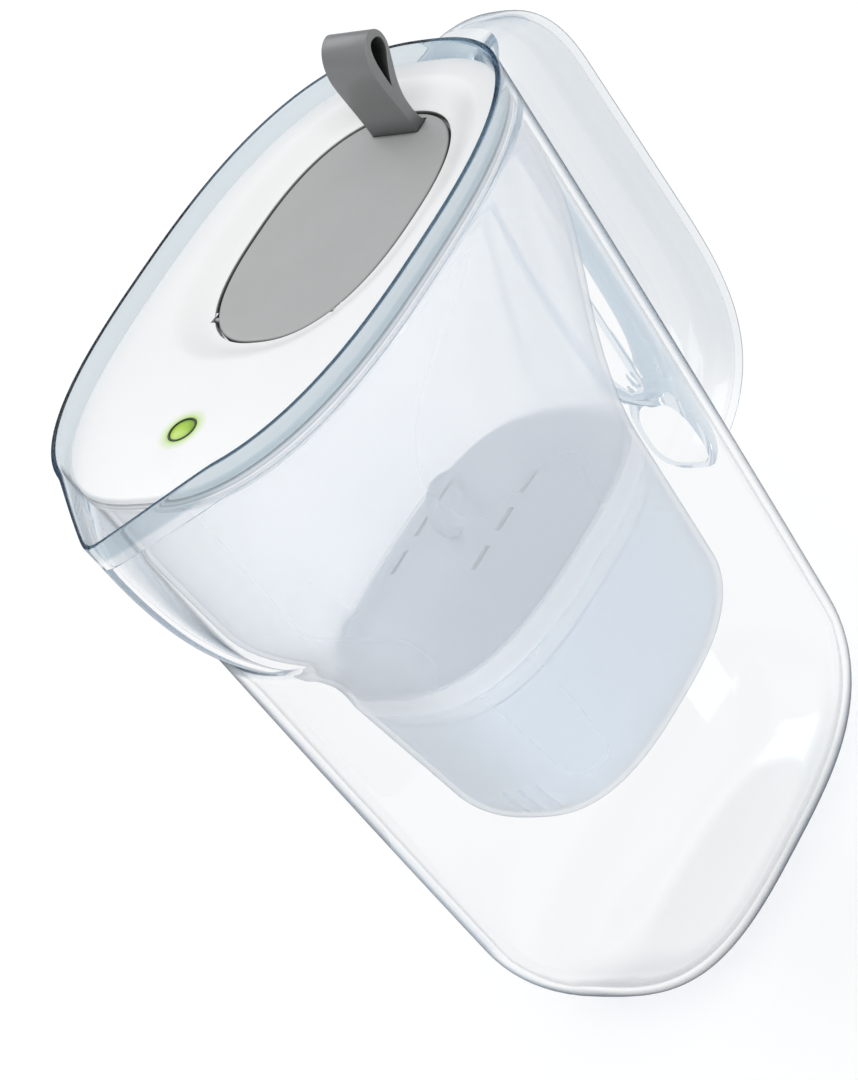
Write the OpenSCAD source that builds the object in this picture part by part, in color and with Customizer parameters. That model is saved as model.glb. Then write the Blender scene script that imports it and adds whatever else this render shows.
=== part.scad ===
// Water filter pitcher with a flip lid: a clear jug, a hanging funnel, a filter cartridge,
// a lid with a fill flap and a light that shows when the cartridge is due for a change.
// The spout points to -X, the handle to +X, the base stands on z = 0 under the middle of the rim.

/* [Jug] */
// Height of the rim above the base
rim_h = 270; // [258:1:285]
// Length of the rim from front to back, without the spout
rim_len = 192.6; // [184:0.2:204]
// Width of the rim
rim_w = 112.4; // [108:0.2:120]
// Length that the tapered walls would have at the base
base_len = 156; // [146:1:164]
// Width that the tapered walls would have at the base
base_w = 86; // [80:1:94]
// How far the base sits nearer to the handle than the rim does
base_shift = 11.5; // [6:0.5:16]
// Extra width at the spout end of the base, as a share of the width
base_taper = 0.08; // [0:0.01:0.12]
// Squareness of the outline at the rim
rim_square = 2.6; // [2.4:0.1:2.9]
// Squareness of the outline at the base
base_square = 3; // [2.6:0.1:3.4]
// Outward swell of the walls at half height
belly = 0.9; // [0:0.1:2]
// Wall thickness of the jug
wall = 2.8; // [2.4:0.1:3.2]
// Wall thickness above the ledge that carries the funnel
rim_wall = 1.8; // [1.6:0.1:2]
// Depth of the ledge below the rim
ledge_drop = 12; // [11:0.5:14]
// Thickness of the floor
floor_t = 3.2; // [2.5:0.1:4]
// Height of the rounding round the base
foot_h = 44; // [30:1:46]
// Reach of that rounding at the two ends
foot_in_len = 40; // [28:1:42]
// Reach of that rounding at the two sides
foot_in_w = 29; // [18:1:31]

/* [Spout] */
// How far the spout stands out from the rim
spout_reach = 21.4; // [16:0.2:25]
// Height of the keel below the spout
spout_keel = 84; // [65:1:90]
// Half of the width over which the spout grows out of the rim
spout_half_w = 28; // [24:1:32]
// Radius that rounds the tip of the spout
spout_tip_r = 2.5; // [1.5:0.5:4]
// How far the tip dips below the rim
spout_dip = 1.6; // [0:0.2:3]

/* [Handle] */
// Reach of the handle behind the rim
handle_reach = 44.7; // [42:0.1:50]
// Depth of the grip from front to back
grip_deep = 33.7; // [30:0.1:36]
// Width of the handle
handle_w = 27; // [24:0.5:30]
// Wall thickness of the hollow handle
handle_wall = 2.6; // [2.2:0.1:3]
// Top of the handle below the rim
handle_drop = 8; // [7:0.5:11]
// Height of the handle's lower root
handle_low = 95; // [90:1:104]
// Thickness of the upper root
root_top_t = 13; // [11:0.5:15]
// Thickness of the lower root
root_low_t = 26; // [22:1:28]
// Depth of the finger recess in the jug's back
recess_deep = 9; // [6:0.5:10]
// Half width of the flat of the finger recess
recess_half_w = 8; // [6:0.5:10]

/* [Funnel] */
// Wall thickness of the funnel
funnel_wall = 1.8; // [1.6:0.1:2]
// Height of the flange that rests on the ledge
flange_h = 4; // [3:0.5:5]
// Depth of the cartridge seat below the rim
seat_drop = 128; // [120:1:136]
// Depth of the cartridge cup
cup_depth = 66; // [58:1:68]
// Length of the cup at its top
cup_len = 123; // [116:1:128]
// Width of the cup at its top
cup_w = 78.6; // [72:0.2:82]
// How far the cup's middle sits behind the rim's middle
cup_x = 0.7; // [-2:0.1:3]
// Slope of the cup's front wall over its depth
cup_lean = 15; // [10:1:20]
// Squareness of the cup
cup_square = 2.8; // [2.5:0.1:3]
// Height of the rounding under the cup
cup_round = 17; // [14:1:19]

/* [Lid] */
// Depth of the lid's top below the rim
lid_drop = 5.9; // [5.5:0.1:6.3]
// Wall thickness of the lid's two shells
lid_wall = 2; // [1.8:0.1:2.2]
// Middle of the fill flap, behind the rim's middle
flap_x = 25.1; // [22:0.1:27]
// Length of the fill flap
flap_len = 97.6; // [90:0.2:100]
// Width of the fill flap
flap_w = 61.4; // [58:0.2:63]
// Squareness of the flap's outline
flap_square = 2.46; // [2.3:0.02:2.7]
// Thickness of the fill flap
flap_t = 2.6; // [2.4:0.1:2.9]
// Depth of the flap's top below the rim
flap_drop = 10.2; // [10:0.1:10.4]
// Width of the dished border round the flap
dish_w = 12; // [9:0.5:13]
// Gap between the flap and the lid
flap_gap = 0.9; // [0.8:0.1:1.1]
// Distance of the hinge from the flap's front tip
hinge_in = 11.7; // [11:0.1:13]
// Width of the ledge under the flap
fill_ledge = 4.7; // [4:0.1:5.5]

/* [Loop tab] */
// Width of the strap
tab_w = 18; // [15:0.5:22]
// Depth of the loop from front to back
loop_deep = 12.2; // [10:0.2:14]
// Height of the loop above the flap
tab_h = 34; // [30:0.5:38]
// Distance of the tab from the flap's rear tip
tab_in = 6.9; // [6.4:0.1:10.8]

/* [Indicator] */
// Middle of the light, in front of the rim's middle
light_x = 65; // [62:0.5:67]
// Radius of the green lens
lens_r = 4.2; // [3.8:0.1:4.6]
// Thickness of the dark ring round the lens
bezel_t = 0.65; // [0.5:0.05:0.8]
// Travel of the lens when it is pressed
press = 0.8; // [0.5:0.1:1]
// Radius of the sealed case of the light
case_r = 13.6; // [13:0.1:14.5]
// Radius of the coin cell
cell_r = 8; // [7.5:0.5:10]
// Thickness of the coin cell
cell_t = 3.2; // [2.5:0.1:3.2]

/* [Cartridge] */
// Gap between the cartridge and the cup
cart_gap = 0.5; // [0.4:0.05:0.8]
// Wall thickness of the cartridge
cart_wall = 1.5; // [1.2:0.1:1.8]
// Height of the cartridge's domed top above its seat
dome_h = 20; // [16:1:24]
// Outer radius of the pull ring
pull_r = 10; // [9:0.5:13]
// Height of the seal round the cartridge
seal_h = 6; // [5:0.5:7]

/* [Hidden] */

sides = 48;            // points round each big outline
grip_sides = 20;       // points round the handle
end_density = 0.85;    // how much closer the points stand at the two ends of an outline
run_gap = 0.05;        // running clearance of pins and of the lens
seat_gap = 0.05;       // clearance between faces that rest on each other
eps = 0.01;

// levels that follow the rim
ledge_z = rim_h - ledge_drop;
flange_low = ledge_z + seat_gap;
flange_top = flange_low + flange_h;
lid_z = rim_h - lid_drop;
lid_low = flange_top + seat_gap;
flap_z = rim_h - flap_drop;
flap_low = flap_z - flap_t;
seat_z = rim_h - seat_drop;
cup_z = seat_z - cup_depth;

// clearances round the funnel and the lid, from the jug's outer outline inwards
flange_in = rim_wall + 0.3;
body_in = wall + 0.6;
mouth_in = body_in + funnel_wall;
lid_in = rim_wall + 0.8;
skirt_in = mouth_in + 0.5;
cart_in = funnel_wall + cart_gap;

// ---- shapes shared by many pieces ----
function mix(a, b, t) = a + (b - a) * t;
function clamp(v, low, high) = min(max(v, low), high);
function ease(t) = let (u = clamp(t, 0, 1)) u * u * (3 - 2 * u);
function spow(v, e) = sign(v) * pow(abs(v), e);
function turn(i, n) = let (u = 2 * i / n) 180 * (u - end_density * sin(360 * u) / (2 * PI));
function oval(a, b, square, angle) = [a * spow(cos(angle), 2 / square), b * spow(sin(angle), 2 / square)];
function bezier(p, t) = pow(1 - t, 3) * p[0] + 3 * t * pow(1 - t, 2) * p[1]
    + 3 * t * t * (1 - t) * p[2] + pow(t, 3) * p[3];
// inset of a quarter-round between two levels, nothing above the higher one
function round_in(z, low, high, size) =
    z >= high ? 0 : size * (1 - sqrt(max(0, 1 - pow((high - z) / (high - low), 2))));
// levels up a quarter-round, closer together near its foot
function round_levels(low, high, n) = [for (i = [0:n]) low + (high - low) * (1 - cos(90 * i / n))];
function reversed(list) = [for (i = [len(list) - 1:-1:0]) list[i]];
function lift(ring2d, z) = [for (p = ring2d) [p[0], p[1], z]];

// Joins rings of equal point counts into one solid, closed by a fan at each end
module loft(rings) {
    n = len(rings[0]);
    m = len(rings);
    start = [for (k = [0:2]) [for (p = rings[0]) p[k]] * [for (p = rings[0]) 1] / n];
    end = [for (k = [0:2]) [for (p = rings[m - 1]) p[k]] * [for (p = rings[0]) 1] / n];
    polyhedron(
        points = concat([for (r = rings) each r], [start, end]),
        faces = concat(
            [for (i = [0:n - 1]) [n * m, i, (i + 1) % n]],
            ring_faces(n, m, m - 2),
            [for (i = [0:n - 1]) [n * m + 1, (m - 1) * n + (i + 1) % n, (m - 1) * n + i]]));
}

// Joins rings into a closed loop, such as a plate with an opening through it
module loft_loop(rings) {
    polyhedron(points = [for (r = rings) each r],
               faces = ring_faces(len(rings[0]), len(rings), len(rings) - 1));
}

function ring_faces(n, m, last) = [for (k = [0:last]) for (i = [0:n - 1])
    let (j = (i + 1) % n, low = k * n, high = ((k + 1) % m) * n)
    each [[low + i, high + i, high + j], [low + i, high + j, low + j]]];

// ---- outline of the jug ----
function level(z) = z / rim_h;
function swell(z) = belly * 4 * level(z) * (1 - level(z));
function jug_half_len(z) = mix(base_len, rim_len, level(z)) / 2 + swell(z);
function jug_half_w(z) = mix(base_w, rim_w, level(z)) / 2 + side_swell * swell(z);
function jug_square(z) = mix(base_square, rim_square, level(z));
function jug_x(z) = base_shift * (1 - level(z));
function back_x(z) = jug_x(z) + jug_half_len(z);
// the spout's keel leaves the front wall at an angle and turns upright towards the rim
function spout_out(z) = spout_reach * max(0, 1 - pow(max(0, rim_h - z) / spout_keel, 2.8));
function spout_side(y) =
    pow(max(0, 1 - (sqrt(y * y + spout_tip_r * spout_tip_r) - spout_tip_r) / spout_half_w), 1.4);
// the recess behind the grip has a round lower end above the lower root and fades out below the rim
recess_low = handle_low + root_low_t;
recess_end = 25;        // how far below the rim the recess has faded out
recess_high = rim_h - recess_end;
recess_arch = 22;
recess_low_run = 12;
recess_high_run = 70;
recess_blend = 6;
dip_run = 9;            // height over which the lip bends down
side_swell = 0.6;       // swell of the side walls, as a share of that of the end walls
function recess_in(y, z) = recess_deep * ease((recess_half_w + recess_blend - abs(y)) / recess_blend)
    * ease((z - recess_low - recess_arch * pow(y / (recess_half_w + recess_blend), 2)) / recess_low_run)
    * ease((recess_high - z) / recess_high_run);

// one ring round the jug at height z, a distance in from its outer face
function jug_ring(z, inset, low = 0, n = sides, spout = true, recess = true) = [for (i = [0:n - 1])
    let (a = jug_half_len(z) - inset - round_in(z, low, foot_h, foot_in_len - inset),
         b = jug_half_w(z) - inset - round_in(z, low, foot_h, foot_in_w - inset),
         p = oval(a, b, jug_square(z), turn(i, n)),
         y = p[1] * (1 - base_taper * (1 - level(z)) * p[0] / a),
         front = spout && p[0] < 0 ? spout_side(y) : 0,
         back = recess && p[0] > 0 ? recess_in(y, z) : 0)
    [jug_x(z) + p[0] - front * spout_out(z) - back, y,
     z - front * spout_dip * ease((z - rim_h + dip_run) / dip_run)]];

foot_steps = 6;
wall_steps = 13;
rim_bevel = 0.6;
function wall_levels(low, high, n) = [for (i = [1:n]) mix(low, high, i / n)];

module jug_outer() {
    loft(concat(
        [for (z = round_levels(0, foot_h, foot_steps)) jug_ring(z, 0)],
        [for (z = wall_levels(foot_h, rim_h - rim_bevel, wall_steps)) jug_ring(z, 0)],
        [jug_ring(rim_h, rim_bevel)]));
}

module jug_inner() {
    above = 3;          // reaches past the rim, so that the mouth is open
    loft(concat(
        [for (z = round_levels(floor_t, foot_h, foot_steps)) jug_ring(z, wall, floor_t)],
        [for (z = wall_levels(foot_h, ledge_z, wall_steps - 1)) jug_ring(z, wall)],
        [jug_ring(ledge_z, rim_wall), jug_ring(rim_h - above, rim_wall), jug_ring(rim_h + above, rim_wall)]));
}

// ---- handle ----
handle_x = rim_len / 2 + handle_reach;
grip_x = handle_x - grip_deep;
handle_top = rim_h - handle_drop;
bend_top = 40;          // height of the upper bend
bend_low = 70;          // height of the lower bend
root_sink = 0.5;        // how far the handle's roots reach into the wall
out_level = 25;         // length of the level start of the outer line at the upper root
out_drop = 8;           // height over which the outer line turns down
in_level = 9;           // the same two for the inner line
in_drop = 19;
in_rise = 6;            // how much sooner the inner line is upright
low_out_pull = 36;      // height of the outer line's pull towards the lower root
low_in_pull = 51;       // height of the inner line's pull towards it
low_in_bend = 41;       // height at which the inner line turns in
low_in_step = 4;
low_out_step = 1;
root_x = rim_len / 2 - wall - root_sink;
low_root_x = back_x(handle_low) - wall;
low_grip_x = back_x(handle_low + root_low_t) - recess_deep - root_sink;
upper_low = handle_top - root_top_t;
upper_out = [[root_x, handle_top], [root_x + out_level, handle_top], [handle_x, handle_top - out_drop],
             [handle_x, handle_top - bend_top]];
upper_in = [[root_x, upper_low], [root_x + in_level, upper_low], [grip_x, handle_top - in_drop],
            [grip_x, handle_top - bend_top + in_rise]];
lower_out = [[handle_x, handle_low + bend_low], [handle_x, handle_low + low_out_pull],
             [handle_x - low_out_step, handle_low + low_out_step], [low_root_x, handle_low]];
lower_in = [[grip_x, handle_low + bend_low], [grip_x, handle_low + low_in_pull],
            [grip_x - low_in_step, handle_low + low_in_bend], [low_grip_x, handle_low + root_low_t]];
hollow_start = 2;       // station of the path at which the handle's hollow begins
upper_steps = 7;
lower_steps = 8;
grip_path = concat(
    [for (i = [0:upper_steps]) [bezier(upper_in, i / upper_steps), bezier(upper_out, i / upper_steps)]],
    [for (i = [0:lower_steps]) [bezier(lower_in, i / lower_steps), bezier(lower_out, i / lower_steps)]]);
grip_square = 2.8;

// one section of the handle between its inner and outer line, a distance in from its face
function grip_ring(pair, inset) =
    let (mid = (pair[0] + pair[1]) / 2,
         span = pair[1] - pair[0],
         half = norm(span) / 2,
         dir = span / (2 * half))
    [for (i = [0:grip_sides - 1])
        let (p = oval(half - inset, handle_w / 2 - inset, grip_square, 360 * i / grip_sides))
        [mid[0] + dir[0] * p[0], p[1], mid[1] + dir[1] * p[0]]];

module grip(inset, first) {
    for (i = [first:len(grip_path) - 2])
        hull() loft([grip_ring(grip_path[i], inset), grip_ring(grip_path[i + 1], inset)]);
}

module jug() {
    color([0.80, 0.88, 0.95, 0.35]) difference() {
        union() {
            jug_outer();
            grip(0, 0);
        }
        jug_inner();
        grip(handle_wall, hollow_start);
    }
}

// ---- funnel ----
cup_front = cup_x - cup_len / 2;
cup_back = cup_x + cup_len / 2;
front_start = 72;       // depth at which the front wall leaves the jug
back_start = 45;        // depth at which the back wall leaves it
side_start = 20;        // depth at which the side walls leave it
side_end = 100;         // depth at which they have reached the cup
cup_in_front = 9;
cup_in_back = 22;
cup_in_w = 12;

function depth(z) = rim_h - z;
function cup_t(z) = clamp((seat_z - z) / cup_depth, 0, 1);
function funnel_front(z) = mix(jug_x(z) - jug_half_len(z) + body_in, cup_front + cup_lean * cup_t(z),
                               ease((depth(z) - front_start) / (seat_drop - front_start)));
function funnel_back(z) = mix(back_x(z) - body_in, cup_back - back_lean * cup_t(z),
                              ease((depth(z) - back_start) / (seat_drop - back_start)));
function funnel_half_w(z) = mix(jug_half_w(z) - body_in, cup_w / 2 - side_lean * cup_t(z),
                                ease((depth(z) - side_start) / (side_end - side_start)));

// one ring round the funnel or the cup, a distance in from the funnel's outer face
function funnel_ring(z, inset, low = cup_z) =
    let (high = cup_z + cup_round,
         front = funnel_front(z) + inset + round_in(z, low, high, cup_in_front - inset),
         back = funnel_back(z) - inset - round_in(z, low, high, cup_in_back - inset),
         a = (back - front) / 2,
         b = funnel_half_w(z) - inset - round_in(z, low, high, cup_in_w - inset),
         free = 1 - ease((depth(z) - back_start) / (seat_drop - back_start)),
         leave = ease((depth(z) - side_start) / (side_end - side_start)))
    [for (i = [0:sides - 1])
        let (p = oval(a, b, mix(jug_square(z), cup_square, leave), turn(i, sides)),
             y = p[1] * (1 - base_taper * (1 - level(z)) * (1 - leave) * p[0] / a),
             back_in = p[0] > 0 ? recess_in(y, z) * free : 0)
        [(front + back) / 2 + p[0] - back_in, y, z]];

funnel_steps = 10;
cup_steps = 2;
cup_round_steps = 4;

module funnel_shell() {
    outer = concat(round_levels(cup_z, cup_z + cup_round, cup_round_steps),
                   wall_levels(cup_z + cup_round, seat_z, cup_steps),
                   wall_levels(seat_z, flange_low - eps, funnel_steps));
    inner = concat(round_levels(cup_z + funnel_wall, cup_z + cup_round, cup_round_steps),
                   wall_levels(cup_z + cup_round, seat_z, cup_steps),
                   wall_levels(seat_z, flange_top, funnel_steps));
    loft(concat(
        [for (z = outer) funnel_ring(z, 0)],
        [jug_ring(flange_low, flange_in, 0, sides, false, false),
         jug_ring(flange_top, flange_in, 0, sides, false, false)],
        reversed([for (z = inner) funnel_ring(z, funnel_wall, cup_z + funnel_wall)])));
}

floor_x = (cup_front + cup_lean + cup_back) / 2;
outlet_len = 34;
outlet_w = 16;
vent_y = -11;
vent_w = 2;
vent_pitch = 5.5;
vent_h = 13;
vent_low = cup_z + cup_round - vent_h / 2;
vent_reach = 24;        // reaches through the sloping front wall
back_lean = 1.5;        // slope of the cup's back wall over its depth
side_lean = 3;          // slope of its side walls

module funnel() {
    color([0.93, 0.95, 0.98, 0.6]) difference() {
        funnel_shell();
        // outlet under the cartridge
        translate([floor_x, 0, cup_z - 1]) linear_extrude(funnel_wall + 2)
            polygon([for (i = [0:sides - 1]) oval(outlet_len / 2, outlet_w / 2, 2, 360 * i / sides)]);
        // three vent slots low in the front of the cup
        for (k = [-1:1])
            translate([cup_front + cup_lean - vent_reach / 2, vent_y + k * vent_pitch - vent_w / 2, vent_low])
                cube([vent_reach, vent_w, vent_h]);
    }
}

// ---- lid ----
flap_half_len = flap_len / 2;
flap_half_w = flap_w / 2;
lip_z = flap_z + 0.2;
dish_depth = lid_z - lip_z;
hinge_x = flap_x - flap_half_len + hinge_in;
hinge_z = flap_low + flap_t / 2;
stub_r = 1;
stub_len = 3.2;
relief_len = 2.2;
relief_back = 0.5;
stub_sink = 2;          // how far the stub axles reach into the flap
bore_spare = 0.4;       // how much deeper the bores are than the stubs are long
// half width of the flap where the hinge crosses it
hinge_share = (flap_half_len - hinge_in) / flap_half_len;
hinge_half_w = flap_half_w * pow(1 - pow(hinge_share, flap_square), 1 / flap_square);
boss_t = 3;
boss_len = 4.8;
boss_low = flap_low - 0.6;
boss_top = lip_z - 0.4;
boss_y = hinge_half_w + flap_gap + 0.5;

function flap_outline(grow, n = sides) = [for (i = [0:n - 1])
    let (p = oval(flap_half_len + grow, flap_half_w + grow, flap_square, turn(i, n))) [flap_x + p[0], p[1]]];
function plain_ring(z, inset) = [for (p = jug_ring(z, inset, 0, sides, false, false)) [p[0], p[1]]];
function lid_ring(inset, z) = lift(plain_ring(lid_z, inset), z);
function dish_z(u) = lip_z + dish_depth * ease(u);

module lid_top() {
    dish_u = [1, 0.8, 0.6, 0.4, 0.2, 0];
    color([0.96, 0.96, 0.96]) difference() {
        union() {
            loft_loop(concat(
                [lid_ring(lid_in, lid_low), lid_ring(lid_in, lid_z - 0.7),
                 lid_ring(lid_in + 0.4, lid_z - 0.15), lid_ring(lid_in + 1.2, lid_z)],
                [for (u = dish_u) lift(flap_outline(flap_gap + dish_w * u), dish_z(u))],
                [for (u = reversed(dish_u))
                    lift(flap_outline(flap_gap + dish_w * u), u == 1 ? lid_low : dish_z(u) - lid_wall)]));
            // bosses that hold the flap's stub axles
            for (s = [-1, 1])
                translate([hinge_x - boss_len / 2, s * boss_y - (s < 0 ? boss_t : 0), boss_low])
                    cube([boss_len, boss_t, boss_top - boss_low]);
        }
        // relief in the lip, where the open flap stands upright
        translate([hinge_x - relief_len, -boss_y, boss_low])
            cube([relief_len + relief_back, 2 * boss_y, lid_z - boss_low]);
        for (s = [-1, 1])
            translate([hinge_x, s * (hinge_half_w - stub_sink), hinge_z]) rotate([-90 * s, 0, 0])
                cylinder(r = stub_r + run_gap, h = stub_sink + stub_len + bore_spare, $fn = 32);
        translate([-light_x, 0, lid_low - 1])
            cylinder(r = bezel_r + run_gap, h = lid_z - lid_low + 2, $fn = 48);
    }
}

base_t = 2;
skirt_t = 1.6;
base_top = boss_low - 0.1;
base_low = base_top - base_t;

module lid_base() {
    ring = plain_ring(base_low, skirt_in);
    ring_in = plain_ring(base_low, skirt_in + skirt_t);
    split_x = hinge_x + 3.8;
    bead_w = 2.2;
    front_grow = 0.8;
    color([0.93, 0.93, 0.93]) {
        translate([0, 0, base_low]) linear_extrude(base_t) difference() {
            polygon(ring);
            polygon(flap_outline(-fill_ledge));
            // wider in front of the hinge, where the flap's tip swings down
            intersection() {
                polygon(flap_outline(front_grow));
                translate([split_x - flap_len, -flap_w]) square([flap_len, 2 * flap_w]);
            }
            translate([-light_x, 0]) circle(r = case_r + 0.2, $fn = 64);
        }
        // skirt that centres the lid in the funnel
        translate([0, 0, base_low]) linear_extrude(lid_low - seat_gap - base_low) difference() {
            polygon(ring);
            polygon(ring_in);
        }
        // bead that the closed flap rests on
        translate([0, 0, base_top - eps]) linear_extrude(flap_low - 0.1 - base_top + eps) difference() {
            polygon(flap_outline(-fill_ledge + bead_w));
            polygon(flap_outline(-fill_ledge));
            translate([split_x - flap_len, -flap_w]) square([flap_len, 2 * flap_w]);
        }
    }
}

module flap() {
    function plate(grow, z) = lift(flap_outline(grow), z);
    sag = 0.9;              // how much lower the middle is than the edge
    fade_in = 24;           // distance from the edge at which the middle's level is reached
    pocket = tab_at(foot_front, 0) - [foot_play, seat_gap];
    color([0.70, 0.70, 0.71]) union() {
        difference() {
            loft([plate(-fade_in, flap_low), plate(-0.6, flap_low), plate(0, flap_low + 0.6),
                  plate(0, flap_z - 0.8), plate(-0.8, flap_z), plate(-fade_in / 4, flap_z - sag * 0.3),
                  plate(-fade_in * 0.6, flap_z - sag * 0.8), plate(-fade_in, flap_z - sag)]);
            // pocket for the foot of the tab
            translate([pocket[0], -tab_w / 2 - foot_play, pocket[1]])
                cube([(foot_back - foot_front) * loop_deep + 2 * foot_play, tab_w + 2 * foot_play, flap_t]);
        }
        // stub axles that snap into the lid
        for (s = [-1, 1])
            translate([hinge_x, s * (hinge_half_w - stub_sink), hinge_z]) rotate([-90 * s, 0, 0])
                cylinder(r = stub_r, h = stub_sink + stub_len, $fn = 32);
    }
}

// ---- loop tab: a moulded strap with a teardrop eye, thicker at its front than behind ----
curve_steps = 6;
foot_sink = 1;         // how far the foot reaches into its pocket in the flap
foot_play = 0.1;       // clearance round the foot
foot_front = -0.16;
foot_back = 0.34;
tab_x = flap_x + flap_half_len - tab_in;
// a point of the tab, at a share of the loop's depth behind its foot and of its height above the flap
function tab_at(x, z) = [tab_x + x * loop_deep, flap_z - foot_sink + z * (tab_h + foot_sink)];
function curve(a, b, c, d) = [for (i = [0:curve_steps - 1]) bezier([a, b, c, d], i / curve_steps)];

module flap_tab() {
    front_foot = tab_at(foot_front, 0);
    front = tab_at(-0.31, 0.6);
    top = tab_at(0.35, 1);
    back = tab_at(0.61, 0.74);
    waist = tab_at(0.13, 0.28);
    back_foot = tab_at(foot_back, 0);
    eye_low = tab_at(-0.01, 0.5);
    eye_top = tab_at(0.27, 0.925);
    eye_back = tab_at(0.41, 0.72);
    color([0.45, 0.45, 0.46])
        translate([0, tab_w / 2, 0]) rotate([90, 0, 0]) linear_extrude(tab_w) difference() {
            polygon(concat(
                curve(front_foot, tab_at(-0.2, 0.27), tab_at(-0.27, 0.42), front),
                curve(front, tab_at(-0.38, 0.83), tab_at(-0.04, 1), top),
                curve(top, tab_at(0.64, 1), tab_at(0.8, 0.87), back),
                curve(back, tab_at(0.37, 0.57), tab_at(0.13, 0.46), waist),
                curve(waist, tab_at(0.13, 0.15), tab_at(0.19, 0.06), back_foot),
                [back_foot]));
            polygon(concat(
                curve(eye_low, tab_at(-0.03, 0.65), tab_at(-0.05, 0.92), eye_top),
                curve(eye_top, tab_at(0.67, 0.925), tab_at(0.62, 0.79), eye_back),
                curve(eye_back, tab_at(0.27, 0.66), tab_at(0.09, 0.57), eye_low)));
        }
}

// ---- indicator: lens, ring, return dome, sealed case with board and cell ----
bezel_r = lens_r + run_gap + bezel_t;
cap_t = 1.1;
cap_top = lid_low - seat_gap;
cap_low = cap_top - cap_t;
bezel_flange_t = 0.5;
bezel_low = cap_top - bezel_flange_t - 0.3;
lens_flange_t = 0.8;
lens_low = bezel_low - 0.1 - lens_flange_t;
dome_t = press + 1;     // the dome folds by the travel of the lens
board_t = 1;
board_top = lens_low - dome_t;
board_low = board_top - board_t;
contact_t = 0.3;
cell_top = board_low - contact_t;
cell_low = cell_top - cell_t;
case_wall = 1.2;
case_low = cell_low - contact_t - case_wall;
board_r = case_r - case_wall - 0.2;
step_r = board_r - 1.2;
cap_hole_r = bezel_r + 1.6;

module at_light(z) {
    translate([-light_x, 0, z]) children();
}

module indicator_lens() {
    rim = lens_r + 1.3;
    step = lens_low + lens_flange_t;
    crown = 0.5;
    crown_low = lid_z - 0.2;
    color([0.70, 0.87, 0.15]) at_light(0) rotate_extrude($fn = 64) polygon(concat(
        [[0, lens_low], [rim, lens_low], [rim, step], [lens_r, step], [lens_r, crown_low]],
        [for (i = [1:5]) [lens_r * cos(18 * i), crown_low + crown * sin(18 * i)]]));
}

module indicator_bezel() {
    rim = bezel_r + 1.4;
    step = bezel_low + bezel_flange_t;
    color([0.08, 0.10, 0.07]) at_light(0) rotate_extrude($fn = 64) polygon([
        [lens_r + run_gap, bezel_low], [rim, bezel_low], [rim, step], [bezel_r, step],
        [bezel_r, lid_z + 0.05], [bezel_r - 0.2, lid_z + 0.2], [lens_r + run_gap, lid_z + 0.2]]);
}

module indicator_dome() {
    color([0.25, 0.26, 0.27]) at_light(0) rotate_extrude($fn = 48) polygon([
        [lens_r - 0.2, board_top], [lens_r + 1.2, board_top], [lens_r + 1.2, board_top + 0.5],
        [lens_r - 0.2, lens_low], [lens_r - 1.2, lens_low], [lens_r - 1.2, lens_low - 0.5],
        [lens_r - 0.2, board_top + 0.4]]);
}

module indicator_cap() {
    color([0.90, 0.90, 0.90]) at_light(cap_low) difference() {
        cylinder(r = case_r, h = cap_t, $fn = 64);
        translate([0, 0, -1]) cylinder(r = cap_hole_r, h = cap_t + 2, $fn = 64);
    }
}

module indicator_seal() {
    seal_r = case_r - 0.6;
    color([0.15, 0.15, 0.16]) at_light(cap_low - 0.45) rotate_extrude($fn = 64)
        translate([seal_r - 0.3, 0]) circle(r = 0.4, $fn = 24);
}

module indicator_case() {
    top = cap_low;
    color([0.88, 0.88, 0.88]) at_light(0) rotate_extrude($fn = 64) polygon([
        [0, case_low], [case_r - 1, case_low], [case_r, case_low + 1], [case_r, top],
        [case_r - 0.3, top], [case_r - 0.3, top - 0.9], [case_r - case_wall, top - 0.9],
        [case_r - case_wall, board_low - 0.05], [step_r, board_low - 0.05],
        [step_r, cell_low - contact_t - 0.02], [0, cell_low - contact_t - 0.02]]);
}

module indicator_board() {
    color([0.10, 0.36, 0.20]) at_light(board_low) difference() {
        cylinder(r = board_r, h = board_t - 0.02, $fn = 64);
        // keying flat that stops the board from turning
        translate([board_r - 1, -board_r, -1]) cube([2, 2 * board_r, board_t + 2]);
    }
}

module indicator_led() {
    color([0.95, 0.95, 0.80]) at_light(board_top) union() {
        translate([-1.6, -1.4, 0]) cube([3.2, 2.8, 0.5]);
        translate([0, 0, 0.45]) cylinder(r1 = 1.2, r2 = 0.9, h = 0.35, $fn = 32);
    }
}

module indicator_contact_upper() {
    color([0.80, 0.75, 0.55]) at_light(cell_top + 0.02) union() {
        translate([-cell_r, -2, 0]) cube([2 * cell_r, 4, contact_t - 0.04]);
        translate([cell_r - 1, -3, 0]) cube([2.2, 6, contact_t - 0.04]);
    }
}

module indicator_cell() {
    color([0.75, 0.76, 0.78]) at_light(cell_low) union() {
        cylinder(r = cell_r, h = cell_t * 0.8, $fn = 64);
        translate([0, 0, cell_t * 0.8 - eps]) cylinder(r = cell_r - 0.8, h = cell_t * 0.2 + eps, $fn = 64);
    }
}

module indicator_contact_lower() {
    color([0.80, 0.75, 0.55]) at_light(cell_low - contact_t) union() {
        cylinder(r = cell_r * 0.6, h = contact_t - 0.02, $fn = 48);
        translate([0, -1.5, 0]) cube([cell_r + 1.5, 3, contact_t - 0.02]);
    }
}

// ---- cartridge ----
cart_low = cup_z + funnel_wall + 0.3;
groove_top = seat_z - 2;
groove_low = groove_top - seal_h - 1;
groove_in = cart_in + 1.3;
collar_in = groove_in + cart_wall;
collar_low = groove_low - 2;
mesh_t = 1;
mesh_gap = 0.1;
mesh_upper_z = groove_low + 2;
mesh_lower_z = cup_z + cup_round + 2;

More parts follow.
